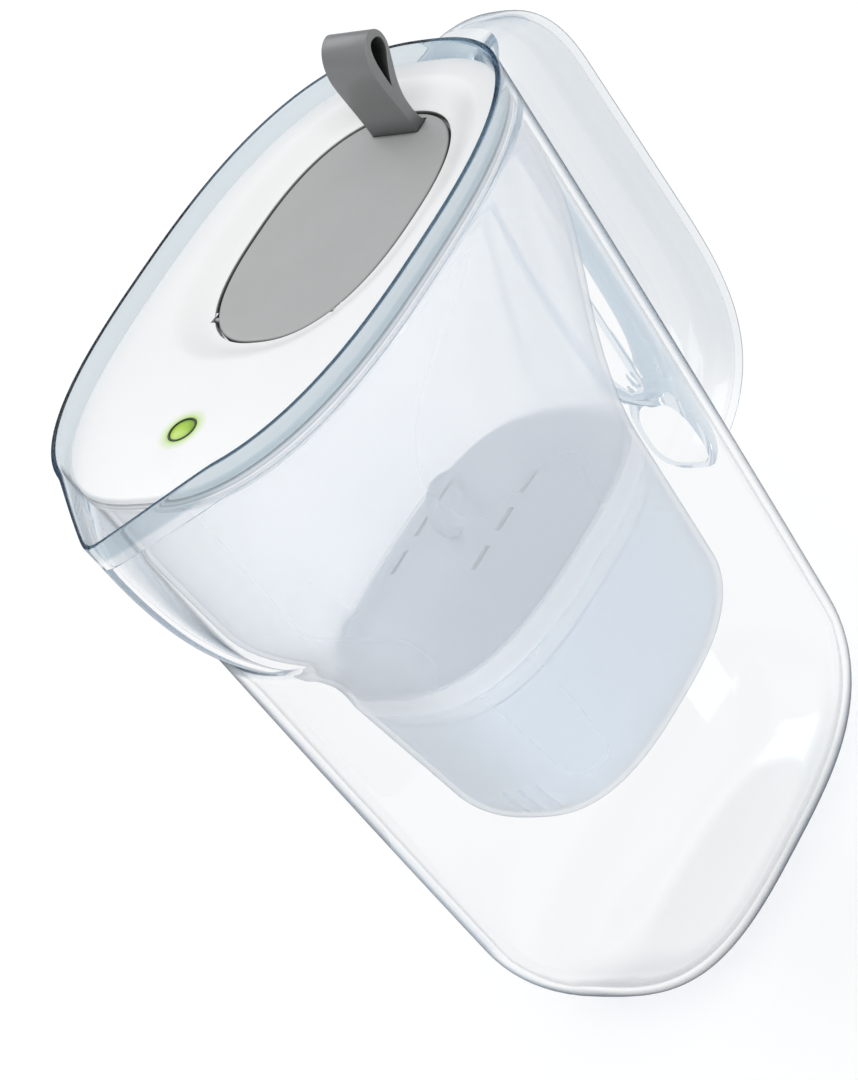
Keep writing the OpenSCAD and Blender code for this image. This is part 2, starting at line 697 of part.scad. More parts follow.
module cartridge_cup() {
    round_z = round_levels(cart_low, cup_z + cup_round, cup_round_steps);
    inner_z = round_levels(cart_low + cart_wall, cup_z + cup_round, cup_round_steps);
    slot = 3;
    slot_len = 12;
    color([0.95, 0.96, 0.98]) difference() {
        loft(concat(
            [for (z = round_z) funnel_ring(z, cart_in, cart_low)],
            [funnel_ring(groove_low, cart_in), funnel_ring(groove_low + 0.3, groove_in),
             funnel_ring(groove_top - 0.3, groove_in), funnel_ring(groove_top, cart_in),
             funnel_ring(seat_z, cart_in), funnel_ring(seat_z, collar_in),
             funnel_ring(collar_low, collar_in), funnel_ring(collar_low - 1.5, cart_in + cart_wall)],
            reversed([for (z = inner_z) funnel_ring(z, cart_in + cart_wall, cart_low + cart_wall)])));
        // outlet slots in the floor
        for (k = [-2:2])
            translate([floor_x + 2 * slot * k - slot / 2, -slot_len / 2, cart_low - 1])
                cube([slot, slot_len, cart_wall + 2]);
    }
}

module cartridge_top() {
    top_in = 26;            // how far the dome's flat top stands in from its edge
    low = seat_z + seat_gap;
    steps = 5;
    ring_t = 4;
    ring_deep = 3;
    ring_z = low + dome_h + pull_r - ring_deep - 0.2;
    inlet_len = 10;
    inlet_w = 2;
    inlet_pitch = 16;
    function dome_ring(u, inset) = lift(
        [for (p = funnel_ring(seat_z, cart_in + inset + top_in * (1 - cos(90 * u)))) [p[0], p[1]]],
        low + (dome_h - inset) * sin(90 * u));
    color([0.96, 0.97, 0.98]) difference() {
        union() {
            loft(concat([for (k = [steps:-1:0]) dome_ring(k / steps, cart_wall)],
                        [for (k = [0:steps]) dome_ring(k / steps, 0)]));
            translate([cup_x, ring_t / 2, ring_z]) rotate([90, 0, 0]) difference() {
                cylinder(r = pull_r, h = ring_t, $fn = 64);
                translate([0, 0, -1]) cylinder(r = pull_r - ring_deep, h = ring_t + 2, $fn = 64);
            }
        }
        // inlet slots in the dome
        for (s = [-1, 1]) for (k = [-1:1])
            translate([cup_x + k * inlet_pitch, s * inlet_pitch, low + dome_h])
                cube([inlet_len, inlet_w, dome_h], center = true);
    }
}

module cartridge_seal() {
    low = groove_low + 0.5;
    high = groove_top - 0.5;
    mid = (low + high) / 2;
    color([0.90, 0.93, 0.96]) loft_loop([
        funnel_ring(low, groove_in - 0.1), funnel_ring(low, groove_in - 0.9),
        funnel_ring(mid, funnel_wall + 0.2), funnel_ring(high, groove_in - 0.9),
        funnel_ring(high, groove_in - 0.1)]);
}

module mesh_plate(z, inset) {
    pitch = 9;
    hole = 5;
    ring = [for (p = funnel_ring(z, inset)) [p[0], p[1]]];
    translate([0, 0, z]) linear_extrude(mesh_t) difference() {
        polygon(ring);
        for (i = [-4:4]) for (j = [-1:1])
            translate([cup_x + i * pitch - hole / 2, j * 2 * pitch - hole]) square([hole, 2 * hole]);
    }
}

module cartridge_mesh_upper() {
    color([0.90, 0.90, 0.90]) mesh_plate(mesh_upper_z, collar_in + mesh_gap);
}

module cartridge_mesh_lower() {
    color([0.90, 0.90, 0.90]) mesh_plate(mesh_lower_z, cart_in + cart_wall + mesh_gap);
}

module cartridge_fill() {
    low = mesh_lower_z + mesh_t + mesh_gap;
    high = mesh_upper_z - mesh_gap;
    color([0.80, 0.76, 0.62]) loft([
        funnel_ring(low, cart_in + cart_wall + mesh_gap),
        funnel_ring(collar_low - 1.6, cart_in + cart_wall + mesh_gap),
        funnel_ring(collar_low - 0.1, collar_in + mesh_gap), funnel_ring(high, collar_in + mesh_gap)]);
}

jug();
funnel();
lid_top();
lid_base();
flap();
flap_tab();
indicator_lens();
indicator_bezel();
indicator_dome();
indicator_cap();
indicator_seal();
indicator_case();
indicator_board();
indicator_led();
indicator_contact_upper();
indicator_cell();
indicator_contact_lower();
cartridge_cup();
cartridge_top();
cartridge_seal();
cartridge_mesh_upper();
cartridge_mesh_lower();
cartridge_fill();
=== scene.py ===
import itertools
import math

import bmesh
import bpy
import numpy as np
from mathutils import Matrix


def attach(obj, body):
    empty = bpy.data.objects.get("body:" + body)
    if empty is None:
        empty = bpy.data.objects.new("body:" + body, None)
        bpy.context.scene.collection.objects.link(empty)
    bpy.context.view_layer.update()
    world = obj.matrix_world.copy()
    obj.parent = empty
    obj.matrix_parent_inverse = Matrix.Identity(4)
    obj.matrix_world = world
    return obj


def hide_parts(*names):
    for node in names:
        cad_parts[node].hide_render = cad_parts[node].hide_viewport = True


# Water filter pitcher: clear jug, frosted funnel, filter cartridge, white lid with a grey fill flap.
# Metres. The spout points to -X, the handle to +X, and the jug stands on z = 0.

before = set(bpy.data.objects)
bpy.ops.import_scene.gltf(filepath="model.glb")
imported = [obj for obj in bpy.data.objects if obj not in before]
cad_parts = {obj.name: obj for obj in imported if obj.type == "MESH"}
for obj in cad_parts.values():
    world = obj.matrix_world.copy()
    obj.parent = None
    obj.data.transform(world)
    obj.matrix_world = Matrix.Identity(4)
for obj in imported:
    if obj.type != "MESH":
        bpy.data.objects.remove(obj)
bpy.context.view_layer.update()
print("frame loaded:", len(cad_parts), "nodes")


# Node trees

class Nodes:
    # short ways to write the nodes of one tree
    def __init__(self, tree):
        self.tree = tree

    def add(self, kind, inputs=None, **values):
        # each input gets a value, a socket or the node whose first socket feeds it
        node = self.tree.nodes.new(kind if "Node" in kind else "ShaderNode" + kind)
        for key, value in values.items():
            setattr(node, key, value)
        for key, value in (inputs or {}).items():
            value = value.outputs[0] if isinstance(value, bpy.types.Node) else value
            if isinstance(value, bpy.types.NodeSocket):
                self.tree.links.new(value, node.inputs[key])
            else:
                node.inputs[key].default_value = value
        return node

    def calc(self, operation, *values):
        return self.add("Math", dict(enumerate(values)), operation=operation).outputs[0]


def operator(operation, swapped=False):
    return lambda self, other: self.math(operation, other, swapped=swapped)


class Field:
    # a value that Geometry Nodes works out at every point of a mesh
    def __init__(self, nodes, socket):
        self.nodes = nodes
        self.socket = socket

    def math(self, operation, *others, swapped=False):
        values = [value.socket if isinstance(value, Field) else value for value in (self, *others)]
        return Field(self.nodes, self.nodes.calc(operation, *(reversed(values) if swapped else values)))

    def __abs__(self):
        return self.math("ABSOLUTE")

    __add__ = operator("ADD")
    __sub__, __rsub__ = operator("SUBTRACT"), operator("SUBTRACT", True)
    __mul__, __rmul__ = operator("MULTIPLY"), operator("MULTIPLY", True)
    __truediv__, __rtruediv__ = operator("DIVIDE"), operator("DIVIDE", True)
    __pow__ = operator("POWER")


class Tree(Nodes):
    # a Geometry Nodes group with one named input for each size
    def __init__(self, name, sizes):
        super().__init__(bpy.data.node_groups.new(name, "GeometryNodeTree"))
        sockets = self.tree.interface
        for way in ("INPUT", "OUTPUT"):
            sockets.new_socket("Geometry", in_out=way, socket_type="NodeSocketGeometry")
        self.wanted = {}
        for key, value in sizes.items():
            kind = {bpy.types.Material: "Material", int: "Int"}.get(type(value), "Float")
            self.wanted[key] = sockets.new_socket(key, in_out="INPUT", socket_type="NodeSocket" + kind).identifier
        self.given = self.add("NodeGroupInput").outputs

    def field(self, key):
        return Field(self, self.given[key])

    def vector(self, *sockets):
        return self.add("CombineXYZ", dict(enumerate(sockets))).outputs[0]

    def end(self, geometry):
        # the last two nodes of every tree
        real = self.add("GeometryNodeRealizeInstances", {0: geometry})
        skin = self.add("GeometryNodeSetMaterial", {"Geometry": real, "Material": self.given["material"]})
        self.add("NodeGroupOutput", {0: skin})

    def grow(self, piece, sizes):
        modifier = piece.modifiers.new(self.tree.name, "NODES")
        modifier.node_group = self.tree
        for key, value in sizes.items():
            modifier[self.wanted[key]] = value
        return settle(piece)


# Formulas. Each of them works on numbers, on numpy arrays and on fields.

def either(operation, onArrays):
    return lambda a, *more: a.math(operation, *more) if isinstance(a, Field) else onArrays(a, *more)


larger, smaller = either("MAXIMUM", np.maximum), either("MINIMUM", np.minimum)
cosine, sine, signOf = either("COSINE", np.cos), either("SINE", np.sin), either("SIGN", np.sign)
below = either("LESS_THAN", lambda a, limit: (a < limit) * 1.0)


def mix(a, b, share):
    return a + (b - a) * share


def clamped(value):
    return smaller(larger(value, 0.0), 1.0)


def ease(value):
    u = clamped(value)
    return u * u * (3 - 2 * u)


def signedPower(value, exponent):
    return signOf(value) * abs(value) ** exponent


def quarterRound(z, low, high):
    # share of a foot rounding at height z: 1 at low, 0 from high upwards
    t = clamped((high - z) / (high - low))
    return 1 - larger(1 - t * t, 0.0) ** 0.5


def levels(low, high, count):
    return [low + (high - low) * i / count for i in range(1, count + 1)]


def roundLevels(low, high, count):
    # closer together near the low end, for a rounding
    return [low + (high - low) * (1 - math.cos(math.pi / 2 * i / count)) for i in range(count + 1)]


def bezier(p, t):
    p = [np.array(q, dtype=float) for q in p]
    return (1 - t) ** 3 * p[0] + 3 * t * (1 - t) ** 2 * p[1] + 3 * t * t * (1 - t) * p[2] + t ** 3 * p[3]


def circleAngles(count):
    return np.arange(count) * 2 * math.pi / count


# Mesh tools

roundPoints = 96  # round every small outline
bevelTurns = (22, 45, 68, 90)  # degrees of the steps of a rounded edge


def roundedEdge(radius, angles=bevelTurns):
    # the steps of a rounded edge, each as (in from the side, up to the top)
    return [(radius - radius * math.cos(a), radius * math.sin(a) - radius) for a in map(math.radians, angles)]


def inSpace(x, y, z):
    # points from coordinates, any of which may be one number for all
    return np.stack(np.broadcast_arrays(x, y, z), axis=1)


def inScene(data):
    # a new object for a mesh, a lamp or a camera
    made = bpy.data.objects.new(data.name, data)
    bpy.context.scene.collection.objects.link(made)
    return made


def newPiece(name, points, faces):
    mesh = bpy.data.meshes.new(name)
    mesh.from_pydata(np.asarray(points, dtype=float).tolist(), [], faces)
    return inScene(mesh)


def ringFaces(around, rings, closed=False):
    faces = []
    for k in range(rings if closed else rings - 1):
        for i in range(around):
            j = (i + 1) % around
            a, b = k * around, ((k + 1) % rings) * around
            faces.append((a + i, a + j, b + j, b + i))
    return faces


def capFaces(around, rings):
    first, last = around * rings, around * rings + 1
    high = (rings - 1) * around
    faces = [(first, (i + 1) % around, i) for i in range(around)]
    return faces + [(last, high + i, high + (i + 1) % around) for i in range(around)]


def cleaned(piece, apart, step):
    # joins points that stand closer than this, then takes one more step
    work = bmesh.new()
    work.from_mesh(piece.data)
    bmesh.ops.remove_doubles(work, verts=work.verts, dist=apart)
    step(work)
    work.to_mesh(piece.data)
    work.free()


def outwards(piece):
    cleaned(piece, 1e-6, lambda work: bmesh.ops.recalc_face_normals(work, faces=work.faces))


def loft(name, rings, closed=False):
    # one solid through rings of equal point counts, closed by a fan at each end or into a loop
    around = len(rings[0])
    points = np.concatenate(rings)
    faces = ringFaces(around, len(rings), closed)
    if not closed:
        points = np.concatenate([points, [rings[0].mean(axis=0)], [rings[-1].mean(axis=0)]])
        faces += capFaces(around, len(rings))
    piece = newPiece(name, points, faces)
    outwards(piece)
    return piece


def settle(piece):
    # turns what the modifiers give into the piece's own plain mesh
    graph = bpy.context.evaluated_depsgraph_get()
    mesh = bpy.data.meshes.new_from_object(piece.evaluated_get(graph), depsgraph=graph)
    piece.modifiers.clear()
    old = piece.data
    piece.data = mesh
    mesh.name = piece.name
    bpy.data.meshes.remove(old)
    return piece


def combine(piece, other, operation="DIFFERENCE"):
    modifier = piece.modifiers.new(operation, "BOOLEAN")
    modifier.operation = operation
    modifier.solver = "MANIFOLD"
    modifier.object = other
    settle(piece)
    bpy.data.objects.remove(other)


def smooth(piece, angle=30, apart=2e-6):
    cleaned(piece, apart, lambda work: bmesh.ops.dissolve_degenerate(work, dist=apart, edges=work.edges))
    piece.data.shade_smooth()
    piece.data.set_sharp_from_angle(angle=math.radians(angle))


def block(name, low, high):
    faces = [(0, 1, 3, 2), (4, 6, 7, 5), (0, 4, 5, 1), (2, 3, 7, 6), (0, 2, 6, 4), (1, 5, 7, 3)]
    piece = newPiece(name, list(itertools.product(*zip(low, high))), faces)
    outwards(piece)
    return piece


def rod(name, start, end, radius, count=48):
    start, end = np.array(start, dtype=float), np.array(end, dtype=float)
    along = (end - start) / np.linalg.norm(end - start)
    side = np.cross(along, (1.0, 0, 0) if abs(along[0]) < 0.9 else (0, 1.0, 0))
    side /= np.linalg.norm(side)
    other = np.cross(along, side)
    angles = circleAngles(count)
    circle = radius * (np.outer(np.cos(angles), side) + np.outer(np.sin(angles), other))
    return loft(name, [circle + start, circle + end])


# Materials

white = (1.0, 1.0, 1.0)


def shade(colour, by):
    return tuple(min(1.0, max(0.0, c * by)) for c in colour)


def towardsWhite(colour, share):
    return tuple(c + (1 - c) * share for c in colour)


class Shader(Nodes):
    # the nodes of one procedural material, or of the world
    def __init__(self, name, kind="material"):
        self.owner = getattr(bpy.data, kind + "s").new(name)
        self.owner.use_nodes = True
        super().__init__(self.owner.node_tree)
        self.tree.nodes.clear()
        self.output = "Output" + kind.title()
        self.coords = self.add("TexCoord").outputs
        self.rays = self.add("LightPath").outputs

    def noise(self, scale, detail=3.0, roughness=0.5, stretch=None):
        source = self.coords["Object"]
        if stretch:
            source = self.add("Mapping", {"Vector": source, "Scale": stretch}).outputs["Vector"]
        inputs = {"Vector": source, "Scale": scale, "Detail": detail, "Roughness": roughness}
        return self.add("TexNoise", inputs).outputs["Fac"]

    def spread(self, value, low, high, fromLow=0.3, fromHigh=0.7):
        inputs = {"Value": value, "From Min": fromLow, "From Max": fromHigh, "To Min": low, "To Max": high}
        return self.add("MapRange", inputs).outputs["Result"]

    def tones(self, value, stops):
        node = self.add("ValToRGB", {"Fac": value})
        ramp = node.color_ramp
        while len(ramp.elements) < len(stops):
            ramp.elements.new(0.5)
        for element, (at, colour) in zip(ramp.elements, stops):
            element.position = at
            element.color = (*colour, 1)
        return node.outputs["Color"]

    def drift(self, value, low, high):
        # from one tone to the other over the middle of a noise
        return self.tones(value, [(0.3, low), (0.7, high)])

    def bump(self, height, strength, distance):
        return self.add("Bump", {"Height": height, "Strength": strength, "Distance": distance}).outputs["Normal"]

    def axis(self, name, coords="Object"):
        return self.add("SeparateXYZ", {0: self.coords[coords]}).outputs[name]

    def past(self, axis, start, full):
        # 0 before the start along an axis of the object, 1 after full
        return self.spread(self.axis(axis), 0.0, 1.0, start, full)

    def away(self, x, y):
        # distance from an upright line
        squares = []
        for name, middle in (("X", x), ("Y", y)):
            along = self.calc("SUBTRACT", self.axis(name), middle)
            squares.append(self.calc("MULTIPLY", along, along))
        return self.calc("SQRT", self.calc("ADD", *squares))

    def creaseShade(self, reach, darkest, top):
        # painted shade: darker in gaps and inside corners that are narrower than the reach, up to a height
        node = self.add("AmbientOcclusion", {"Distance": reach}, samples=8)
        clear = self.calc("MAXIMUM", node.outputs["AO"], self.past("Z", top, top + 0.0005))
        return self.tones(clear, [(0.35, (darkest,) * 3), (0.85, white)])

    def slant(self):
        # 0 where a face looks at the eye, 1 where it is seen edge on
        return self.add("LayerWeight", {"Blend": 0.5}).outputs["Facing"]

    def times(self, first, *others):
        # colours multiplied, on the colour sockets of the mix node
        for other in others:
            first = self.add("Mix", {0: 1.0, 6: first, 7: other}, data_type="RGBA",
                             blend_type="MULTIPLY").outputs[2]
        return first

    def seeThrough(self, colour):
        return self.add("BsdfTransparent", {"Color": (*colour, 1)})

    def choose(self, share, first, second):
        return self.add("MixShader", {0: share, 1: first, 2: second})

    def skin(self, colour, roughness, normal, inputs=None):
        surface = {"Base Color": colour, "Roughness": roughness, "Normal": normal, **(inputs or {})}
        return self.add("BsdfPrincipled", surface)

    def finish(self, surface, **others):
        self.add(self.output, {"Surface": surface, **others})
        return self.owner


plasticLook = {"driftScale": 28, "glossScale": 260, "glossSpread": 0.05, "grainStrength": 0.5,
               "glowMiddle": 0.35, "glowPale": 0.55}


def mouldedPlastic(name, colour, roughness, mottle=0.03, grain=0.00045, depth=0.00002, shine=0.5, creaseShade=None,
                   glow=None, look=plasticLook):
    # injection moulded plastic: slow tone drift, a fine grain and slightly uneven gloss.
    # Its shade in creases is painted: darker in gaps and inside corners, given as (reach, darkest tone, height it
    # ends at). Its glow is painted light: a lit spot given as (x, y, inner and outer radius, tone).
    s = Shader(name)
    tone = s.drift(s.noise(look["driftScale"], 4), shade(colour, 1 - mottle), shade(colour, 1 + mottle))
    # painted shade in gaps and inside corners
    if creaseShade:
        tone = s.times(tone, s.creaseShade(*creaseShade))
    # painted light: a tone laid round a spot by its distance, for a glow that no lamp casts
    if glow:
        x, y, near, far, lit = glow
        tone = s.times(tone, s.tones(s.spread(s.away(x, y), 0.0, 1.0, near, far),
                                     [(0.0, lit), (look["glowMiddle"], towardsWhite(lit, look["glowPale"])),
                                      (1.0, white)]))
    spread = look["glossSpread"]
    gloss = s.spread(s.noise(look["glossScale"], 3), roughness - spread, roughness + spread)
    return s.finish(s.skin(tone, gloss, s.bump(s.noise(1 / grain, 2, 0.6), look["grainStrength"], depth),
                           {"Specular IOR Level": shine}))


metalLook = {"streakScale": 900, "dark": 0.86, "bright": 1.06, "smoother": 0.06, "rougher": 0.08,
             "strength": 0.3, "depth": 0.00001}


def brushedMetal(name, colour, roughness, stretch, look=metalLook):
    s = Shader(name)
    streaks = s.noise(look["streakScale"], 3, 0.6, stretch)
    tone = s.drift(streaks, shade(colour, look["dark"]), shade(colour, look["bright"]))
    gloss = s.spread(streaks, roughness - look["smoother"], roughness + look["rougher"])
    return s.finish(s.skin(tone, gloss, s.bump(streaks, look["strength"], look["depth"]), {"Metallic": 1.0}))


clearLook = {
    "tint": (0.99, 0.993, 0.996), "ior": 1.43, "roughness": 0.01, "waveScale": 34, "waveStrength": 0.12,
    "waveDepth": 0.00025, "depthColour": (0.62, 0.72, 0.80), "depth": 7.0, "lampShare": (0.97, 0.977, 0.985),
    "deepest": 4.0, "deepShare": (0.80, 0.85, 0.89),  # rays with more bounces than this go straight on
    # the next keys paint shade: slate at the edges, on the rim's face and along the foot, grey-blue on the brim
    # and the grip
    "edge": (0.09, 0.15, 0.21), "edgeFrom": 0.76, "edgeShare": 0.97,
    "rimShare": 0.92, "rimLow": 0.2645, "rimHigh": 0.2665,
    "rimTint": (0.70, 0.765, 0.80), "rimStart": 0.2612, "rimFull": 0.2622,
    "gripShadeTone": (0.865, 0.885, 0.905), "gripStart": 0.106, "gripFull": 0.128,
    "footEdgeFrom": 0.56, "footTop": 0.03, "footShade": 0.42, "footShadeTop": 0.016,
}


def clearPlastic(name, look=clearLook):
    # clear copolyester: polished and faintly wavy, bluish where it is thick. Painted shade makes it slate blue at
    # its edges, on the rim's top face and along the foot, and greyer over the grip and the brim.
    s = Shader(name)
    tint = s.drift(s.noise(9, 2), shade(look["tint"], 0.985), shade(look["tint"], 1.01))
    # painted shade: a grey-blue tone over the grip, and a deeper one over the brim round the lid
    gripShade = s.tones(s.past("X", look["gripStart"], look["gripFull"]), [(0.0, white), (1.0, look["gripShadeTone"])])
    brimShade = s.tones(s.past("Z", look["rimStart"], look["rimFull"]), [(0.0, white), (1.0, look["rimTint"])])
    polish = s.spread(s.noise(140, 3), look["roughness"] * 0.5, look["roughness"] * 2)
    waves = s.bump(s.noise(look["waveScale"], 2), look["waveStrength"], look["waveDepth"])
    glass = s.skin(s.times(tint, gripShade, brimShade), polish, waves, {"Transmission Weight": 1.0, "IOR": look["ior"]})
    # painted shade: the slate edge tone works on faces met from the air, and from inside only on a ray's first
    # face
    outside = s.calc("SUBTRACT", 1.0, s.add("NewGeometry").outputs["Backfacing"])
    allowed = s.calc("MAXIMUM", outside, s.calc("LESS_THAN", s.rays["Ray Depth"], 1.5))
    edgeFrom = s.spread(s.axis("Z"), look["footEdgeFrom"], look["edgeFrom"], 0.0, look["footTop"])
    edge = s.calc("MULTIPLY", s.spread(s.slant(), 0.0, look["edgeShare"], edgeFrom, 1.0), allowed)
    # the rim's own face carries the painted shade too, for light that runs up inside the wall and shows slate
    # there
    rim = s.calc("MULTIPLY", s.spread(s.axis("Z", "Normal"), 0.0, look["rimShare"], 0.3, 0.8),
                 s.past("Z", look["rimLow"], look["rimHigh"]))
    # painted shade along the foot: darker at a slant near the bottom
    foot = s.calc("MULTIPLY", s.spread(s.slant(), 0.0, look["footShade"], 0.3, 0.85),
                  s.spread(s.axis("Z"), 1.0, 0.0, 0.0, look["footShadeTop"]))
    for share in (rim, foot):
        edge = s.calc("MAXIMUM", edge, s.calc("MULTIPLY", share, outside))
    tooDeep = s.calc("GREATER_THAN", s.rays["Ray Depth"], look["deepest"])
    body = glass
    for share, tone in ((edge, "edge"), (tooDeep, "deepShare"), (s.rays["Is Shadow Ray"], "lampShare")):
        body = s.choose(share, body, s.seeThrough(look[tone]))
    inWall = s.add("VolumeAbsorption", {"Color": (*look["depthColour"], 1), "Density": look["depth"]})
    return s.finish(body, Volume=inWall)


frostedLook = {
    # edge is the painted shade at the silhouettes
    "face": (0.96, 0.965, 0.98), "edge": (0.16, 0.20, 0.26), "edgeFrom": 0.80, "roughness": 0.42,
    "openFace": 0.88, "openEdge": 0.50, "passing": (0.992, 0.994, 0.998), "lampShare": (0.94, 0.943, 0.95),
    "bandLow": 0.1425, "bandHigh": 0.1495, "bandBlend": 0.0012, "bandOpen": 0.48, "cupOpen": 0.93,
    "flangeLow": 0.2575, "flangeHigh": 0.2625, "flangeOpen": 0.45,
    # painted shade up the flange: two grey lines where its rings meet the lid
    "flangeShadeTones": ((0.48, 1.0), (0.58, 0.5), (0.66, 0.92), (0.76, 0.92), (0.86, 0.38), (1.0, 0.38)),
}


def frostedPlastic(name, look=frostedLook):
    # translucent polypropylene: a thin cloudy sheet, milkier where it is seen at a slant, with a satin skin.
    # Its wall is thicker, so milkier, in the band above the cup.
    s = Shader(name)
    up = s.past("Z", look["flangeLow"], look["flangeHigh"])
    # painted shade: the silhouettes darken to slate, and two grey lines run up the flange
    tone = s.times(s.drift(s.noise(22, 4), (0.98,) * 3, white),
                   s.tones(up, [(at, (tone,) * 3) for at, tone in look["flangeShadeTones"]]),
                   s.tones(s.slant(), [(look["edgeFrom"], look["face"]), (1.0, look["edge"])]))
    satin = s.spread(s.noise(420, 3), look["roughness"] - 0.06, look["roughness"] + 0.06)
    sheet = s.skin(tone, satin, s.bump(s.noise(2200, 2, 0.6), 0.05, 0.00001))
    blend, bandLow = look["bandBlend"], look["bandLow"]
    outOfBand = s.spread(s.axis("Z"), 1.0, 0.0, look["bandHigh"], look["bandHigh"] + blend)
    inBand = s.calc("MULTIPLY", s.past("Z", bandLow - blend, bandLow), outOfBand)
    opening = s.calc("MULTIPLY", s.spread(s.slant(), look["openFace"], look["openEdge"], 0.1, 0.9),
                     s.spread(up, 1.0, look["flangeOpen"], 0.3, 0.4))
    for share in (s.spread(inBand, 1.0, look["bandOpen"], 0.0, 1.0),
                  s.spread(s.axis("Z"), look["cupOpen"], 1.0, bandLow - blend, bandLow)):
        opening = s.calc("MULTIPLY", opening, share)
    body = s.choose(opening, sheet, s.seeThrough(look["passing"]))
    return s.finish(s.choose(s.rays["Is Shadow Ray"], body, s.seeThrough(look["lampShare"])))


def dress(piece, material):
    piece.data.materials.clear()
    piece.data.materials.append(material)


def place(piece, look, body, node):
    dress(piece, looks[look])
    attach(piece, body)
    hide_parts(node)
    print(piece.name, "made:", len(piece.data.polygons), "faces")


# Jug

jugSizes = {
    "rimHeight": 0.270, "rimLength": 0.1926, "rimWidth": 0.1124,
    "baseLength": 0.156, "baseWidth": 0.086, "baseShift": 0.0115, "baseTaper": 0.08,
    "rimSquareness": 2.6, "baseSquareness": 3.0, "belly": 0.0009, "bellyLength": 4.0, "bellyWidth": 2.4,
    "footHeight": 0.044, "footInLength": 0.040, "footInWidth": 0.029,
    "spoutReach": 0.0214, "spoutKeel": 0.084, "keelPower": 2.8, "spoutHalfWidth": 0.028, "spoutPower": 1.4,
    "spoutTipRadius": 0.0025, "spoutDip": 0.0016, "dipRun": 0.009,
    "recessDepth": 0.009, "recessHalfWidth": 0.008, "recessLow": 0.121, "recessHigh": 0.245,
    "recessArch": 0.022, "recessLowRun": 0.012, "recessHighRun": 0.070, "recessBlend": 0.006,
}
jugWalls = {
    "wall": 0.0028, "rimWall": 0.0018, "ledgeDrop": 0.012, "floor": 0.0032, "rimRound": 0.0007,
    "ledgeRound": 0.0004, "ledgeNip": 0.0001, "ledgeEase": 0.0002, "cutPast": 0.003,
    "footRings": 22, "outerRings": 60, "innerRings": 54, "rimRings": 8,
}
outlinePoints = 192  # round every big outline
endDensity = 0.85    # how much closer they stand at the spout and at the handle


def turns(count=outlinePoints):
    u = np.arange(count) * 2 / count
    return math.pi * (u - endDensity * np.sin(2 * math.pi * u) / (2 * math.pi))


def jugX(z, s=jugSizes):
    return s["baseShift"] * (1 - z / s["rimHeight"])


def jugHalf(side, z, s=jugSizes):
    # half of the jug's Length or Width at a height
    level = z / s["rimHeight"]
    swell = s["belly"] * s["belly" + side]
    return mix(s["base" + side], s["rim" + side], level) / 2 + swell * level * (1 - level)


def jugSquareness(z, s=jugSizes):
    return mix(s["baseSquareness"], s["rimSquareness"], z / s["rimHeight"])


def spoutOut(z, s=jugSizes):
    keel = larger((s["rimHeight"] - z) / s["spoutKeel"], 0.0) ** s["keelPower"]
    return s["spoutReach"] * larger(1 - keel, 0.0)


def spoutSide(y, s=jugSizes):
    tip = s["spoutTipRadius"]
    return larger(1 - ((y * y + tip * tip) ** 0.5 - tip) / s["spoutHalfWidth"], 0.0) ** s["spoutPower"]


def recessIn(y, z, s=jugSizes):
    wide = s["recessHalfWidth"] + s["recessBlend"]
    across = y / wide
    return (s["recessDepth"] * ease((wide - abs(y)) / s["recessBlend"])
            * ease((z - s["recessLow"] - s["recessArch"] * across * across) / s["recessLowRun"])
            * ease((s["recessHigh"] - z) / s["recessHighRun"]))


def jugPoint(turn, z, inset, low, share=1.0, s=jugSizes, shaped=1.0):
    # a point of the jug's wall, a distance in from the outer face
    level = z / s["rimHeight"]
    foot = quarterRound(z, low, s["footHeight"])
    a = jugHalf("Length", z, s) - inset - foot * (s["footInLength"] - inset)
    b = jugHalf("Width", z, s) - inset - foot * (s["footInWidth"] - inset)
    power = 2 / jugSquareness(z, s)
    along = a * signedPower(cosine(turn), power)
    y = b * signedPower(sine(turn), power) * (1 - s["baseTaper"] * (1 - level) * along / a)
    front = below(along, 0.0) * spoutSide(y, s) * shaped
    back = (1 - below(along, 0.0)) * recessIn(y, z, s) * shaped
    x = along - front * spoutOut(z, s) - back
    dip = front * s["spoutDip"] * ease((z - s["rimHeight"] + s["dipRun"]) / s["dipRun"])
    return jugX(z, s) + share * x, share * y, z - share * dip


def wallTree(sizes):
    # lifts a strip of points into the jug's oval wall
    tree = Tree("ovalWall", sizes)

    def stored(name):
        return Field(tree, tree.add("GeometryNodeInputNamedAttribute", {"Name": name},
                                    data_type="FLOAT").outputs["Attribute"])

    fields = {key: tree.field(key) for key in sizes if key != "material"}
    point = jugPoint(stored("turn"), stored("height"), stored("inset"), stored("footLow"), stored("share"), fields)
    spot = tree.vector(*(value.socket for value in point))
    move = tree.add("GeometryNodeSetPosition", {"Geometry": tree.given["Geometry"], "Position": spot})
    tree.end(move)
    return tree


def wallStrip(name, rings, low):
    # the flat start of a wall, with what the tree needs on each point; rings are (height, inset)
    around = outlinePoints
    count = len(rings) * around
    faces = ringFaces(around, len(rings)) + capFaces(around, len(rings))
    piece = newPiece(name, np.zeros((count + 2, 3)), faces)

    def perRing(index):
        values = [ring[index] for ring in rings]
        return np.append(np.repeat(values, around), [values[0], values[-1]])

    stored = {"turn": np.append(np.tile(turns(), len(rings)), [0.0, 0.0]), "height": perRing(0),
              "inset": perRing(1), "share": np.append(np.ones(count), [0.0, 0.0]),
              "footLow": np.full(count + 2, low)}
    for key, values in stored.items():
        piece.data.attributes.new(key, "FLOAT", "POINT").data.foreach_set("value", values.astype(np.float32))
    return piece


def oval(a, b, squareness, angle):
    power = 2 / squareness
    return np.stack([a * signedPower(np.cos(angle), power), b * signedPower(np.sin(angle), power)], axis=1)


